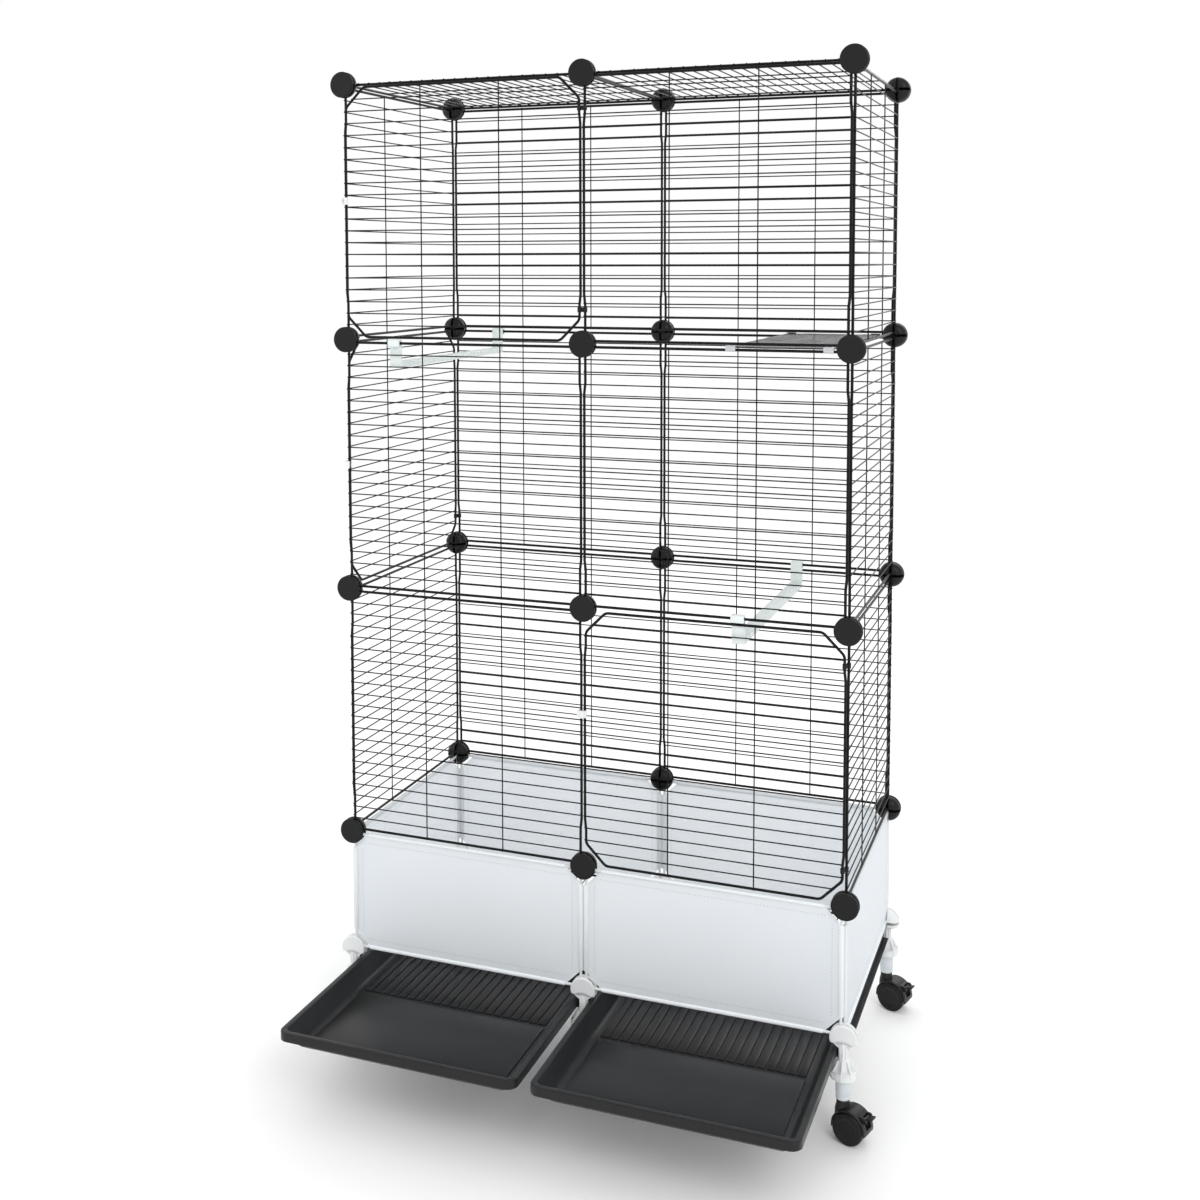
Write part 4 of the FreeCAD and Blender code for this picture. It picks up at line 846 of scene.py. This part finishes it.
perch_end = [(0.1754, -0.026), (0.1754, 0.005), (0.1856, 0.005), (0.1856, -0.005), (0.1826, -0.005),
             (0.1826, 0.002), (0.1784, 0.002), (0.1784, -0.034)]
perch_outline = perch_end + [(-along, lift) for along, lift in reversed(perch_end)]
perch_half = 0.009
perch = profile_piece("perch", perch_outline, -perch_half, perch_half)
soften(perch, 0.0011, segments=3)
dress(perch, perch_pale)
for node, perch_x, perch_z in (("perch_high", -0.27868, 1.012), ("perch_low", 0.213, 0.665)):
    hooked = copy_to(perch, node + "_moulded", (perch_x, 0, perch_z))
    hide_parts(node)
    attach(hooked, "cage")
bpy.data.objects.remove(perch)

# Rest platform: a thin dark board with a slightly wrinkled film, held by four bright spring clips.
# The board lies between the frame wires of two tiers; each clip is a steel strip folded over its edge.
board_start, board_end, board_half, board_low = 0.19525, 0.3337, 0.1831, 1.0139
bpy.ops.object.select_all(action="DESELECT")
bpy.ops.mesh.primitive_grid_add(x_subdivisions=34, y_subdivisions=90, size=1)
board = bpy.context.object
board.name = "wrinkled_board"
board.scale = (board_end - board_start, board_half * 2, 1)
board.location = ((board_start + board_end) / 2, 0, board_low + 0.0015)
bpy.ops.object.transform_apply(location=True, rotation=False, scale=True)
wrinkles = bpy.data.textures.new("film_wrinkles", "CLOUDS")
wrinkles.noise_scale = 0.03
use_modifier(board, "DISPLACE", texture=wrinkles, strength=0.0012, mid_level=0.5, direction="Z",
             texture_coords="LOCAL")
use_modifier(board, "SOLIDIFY", thickness=0.0016, offset=0)
soften(board, 0.0004, segments=2, angle=60)
platform_film, shader, place = new_finish("platform_film")
wrinkle = place.node("ShaderNodeMapping", {}, {"Vector": place, "Scale": (1.0, 0.35, 1.0)}).noise(34.0, 5.0)
connect(shader, Base_Color=wrinkle.blend((0.010, 0.010, 0.011, 1), (0.030, 0.031, 0.034, 1)),
        Roughness=wrinkle * 0.3 + 0.14, Specular_IOR_Level=0.06, Normal=bump(wrinkle, 0.9, 0.003))
dress(board, platform_film)
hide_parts("rest_platform")
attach(board, "cage")
clip_steel, shader, place = new_finish("clip_steel")
brushed = place.node("ShaderNodeMapping", {}, {"Vector": place, "Scale": (6.0, 90.0, 90.0)}).noise(20.0, 3.0)
connect(shader, Base_Color=brushed.blend((0.50, 0.51, 0.53, 1), (0.66, 0.67, 0.69, 1)), Metallic=1.0,
        Roughness=brushed * 0.2 + 0.22)
board_top, clip_metal, clip_width = board_low + 0.003, 0.0008, 0.013
clip_inner, clip_drop = -board_half + 0.009, board_top - 0.006
strip_outline = [(clip_inner, board_top), (-board_half, board_top), (-board_half, clip_drop),
                 (-board_half - clip_metal, clip_drop), (-board_half - clip_metal, board_top + 0.0004),
                 (-board_half - 0.0004, board_top + clip_metal), (clip_inner, board_top + clip_metal)]
folded = []
for clip_x in (board_start, board_end - clip_width):
    front_clip = profile_piece("spring_clip", strip_outline, clip_x, clip_x + clip_width)
    soften(front_clip, 0.0002, segments=2, angle=40)
    folded.append(front_clip)
    folded.append(copy_to(front_clip, "back_clip", (clip_x * 2 + clip_width, 0, 0), math.pi))
spring_clips = join("spring_clips", folded)
dress(spring_clips, clip_steel)
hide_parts("platform_clips")
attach(spring_clips, "cage")

# Studio: a plain pale floor that runs out of sight, a bright even surround and three soft lamps.
bpy.ops.object.select_all(action="DESELECT")
bpy.ops.mesh.primitive_plane_add(size=60, location=(0, 0, -0.0002))
studio_floor = bpy.context.object
studio_floor.name = "studio_floor"
floor_paint, shader, place = new_finish("floor_paint")
mottle = place.noise(3.0, 2.0)
connect(shader, Base_Color=mottle.blend((0.955, 0.955, 0.955, 1), (0.97, 0.97, 0.97, 1)), Roughness=0.8,
        Specular_IOR_Level=0.1, Emission_Color=(1, 1, 1, 1), Emission_Strength=0.05)
dress(studio_floor, floor_paint)
surround = bpy.data.worlds.new("studio_surround")
surround.use_nodes = True
surround.node_tree.nodes["Background"].inputs["Color"].default_value = (1.0, 1.0, 1.0, 1)
surround.node_tree.nodes["Background"].inputs["Strength"].default_value = 1.0
bpy.context.scene.world = surround
bpy.context.scene.view_settings.view_transform = "Standard"


def soft_lamp(name, place, aim, width, power):
    """A square soft box turned towards a point."""
    bpy.ops.object.light_add(type="AREA", location=place)
    lamp = bpy.context.object
    lamp.name = name
    lamp.data.size = width
    lamp.data.energy = power
    lamp.rotation_euler = (Vector(aim) - Vector(place)).to_track_quat("-Z", "Y").to_euler()


soft_lamp("key_box", (2.2, -2.4, 2.8), (0, 0, 0.8), 1.6, 32)
soft_lamp("fill_box", (-2.6, -1.8, 1.8), (0, 0, 0.7), 1.8, 12)
soft_lamp("back_box", (0.6, 2.6, 2.6), (0, 0, 1.0), 1.8, 16)

# Camera: the photograph's viewpoint, a little to the right and level with the upper tier,
# with the lens shifted so that the uprights stay upright.
bpy.ops.object.camera_add(location=(0.6745, -2.0024, 1.1270),
                          rotation=(math.radians(85.858), math.radians(0.165), math.radians(21.057)))
camera = bpy.context.object
picture_width, sensor_width, focal_length = 1200, 36, 1469.26
axis_x, axis_y = 563.2, 366.4
camera.data.sensor_width = sensor_width
camera.data.lens = focal_length / picture_width * sensor_width
camera.data.shift_x = (picture_width / 2 - axis_x) / picture_width
camera.data.shift_y = (axis_y - picture_width / 2) / picture_width
camera.data.clip_start = 0.05
bpy.context.scene.camera = camera
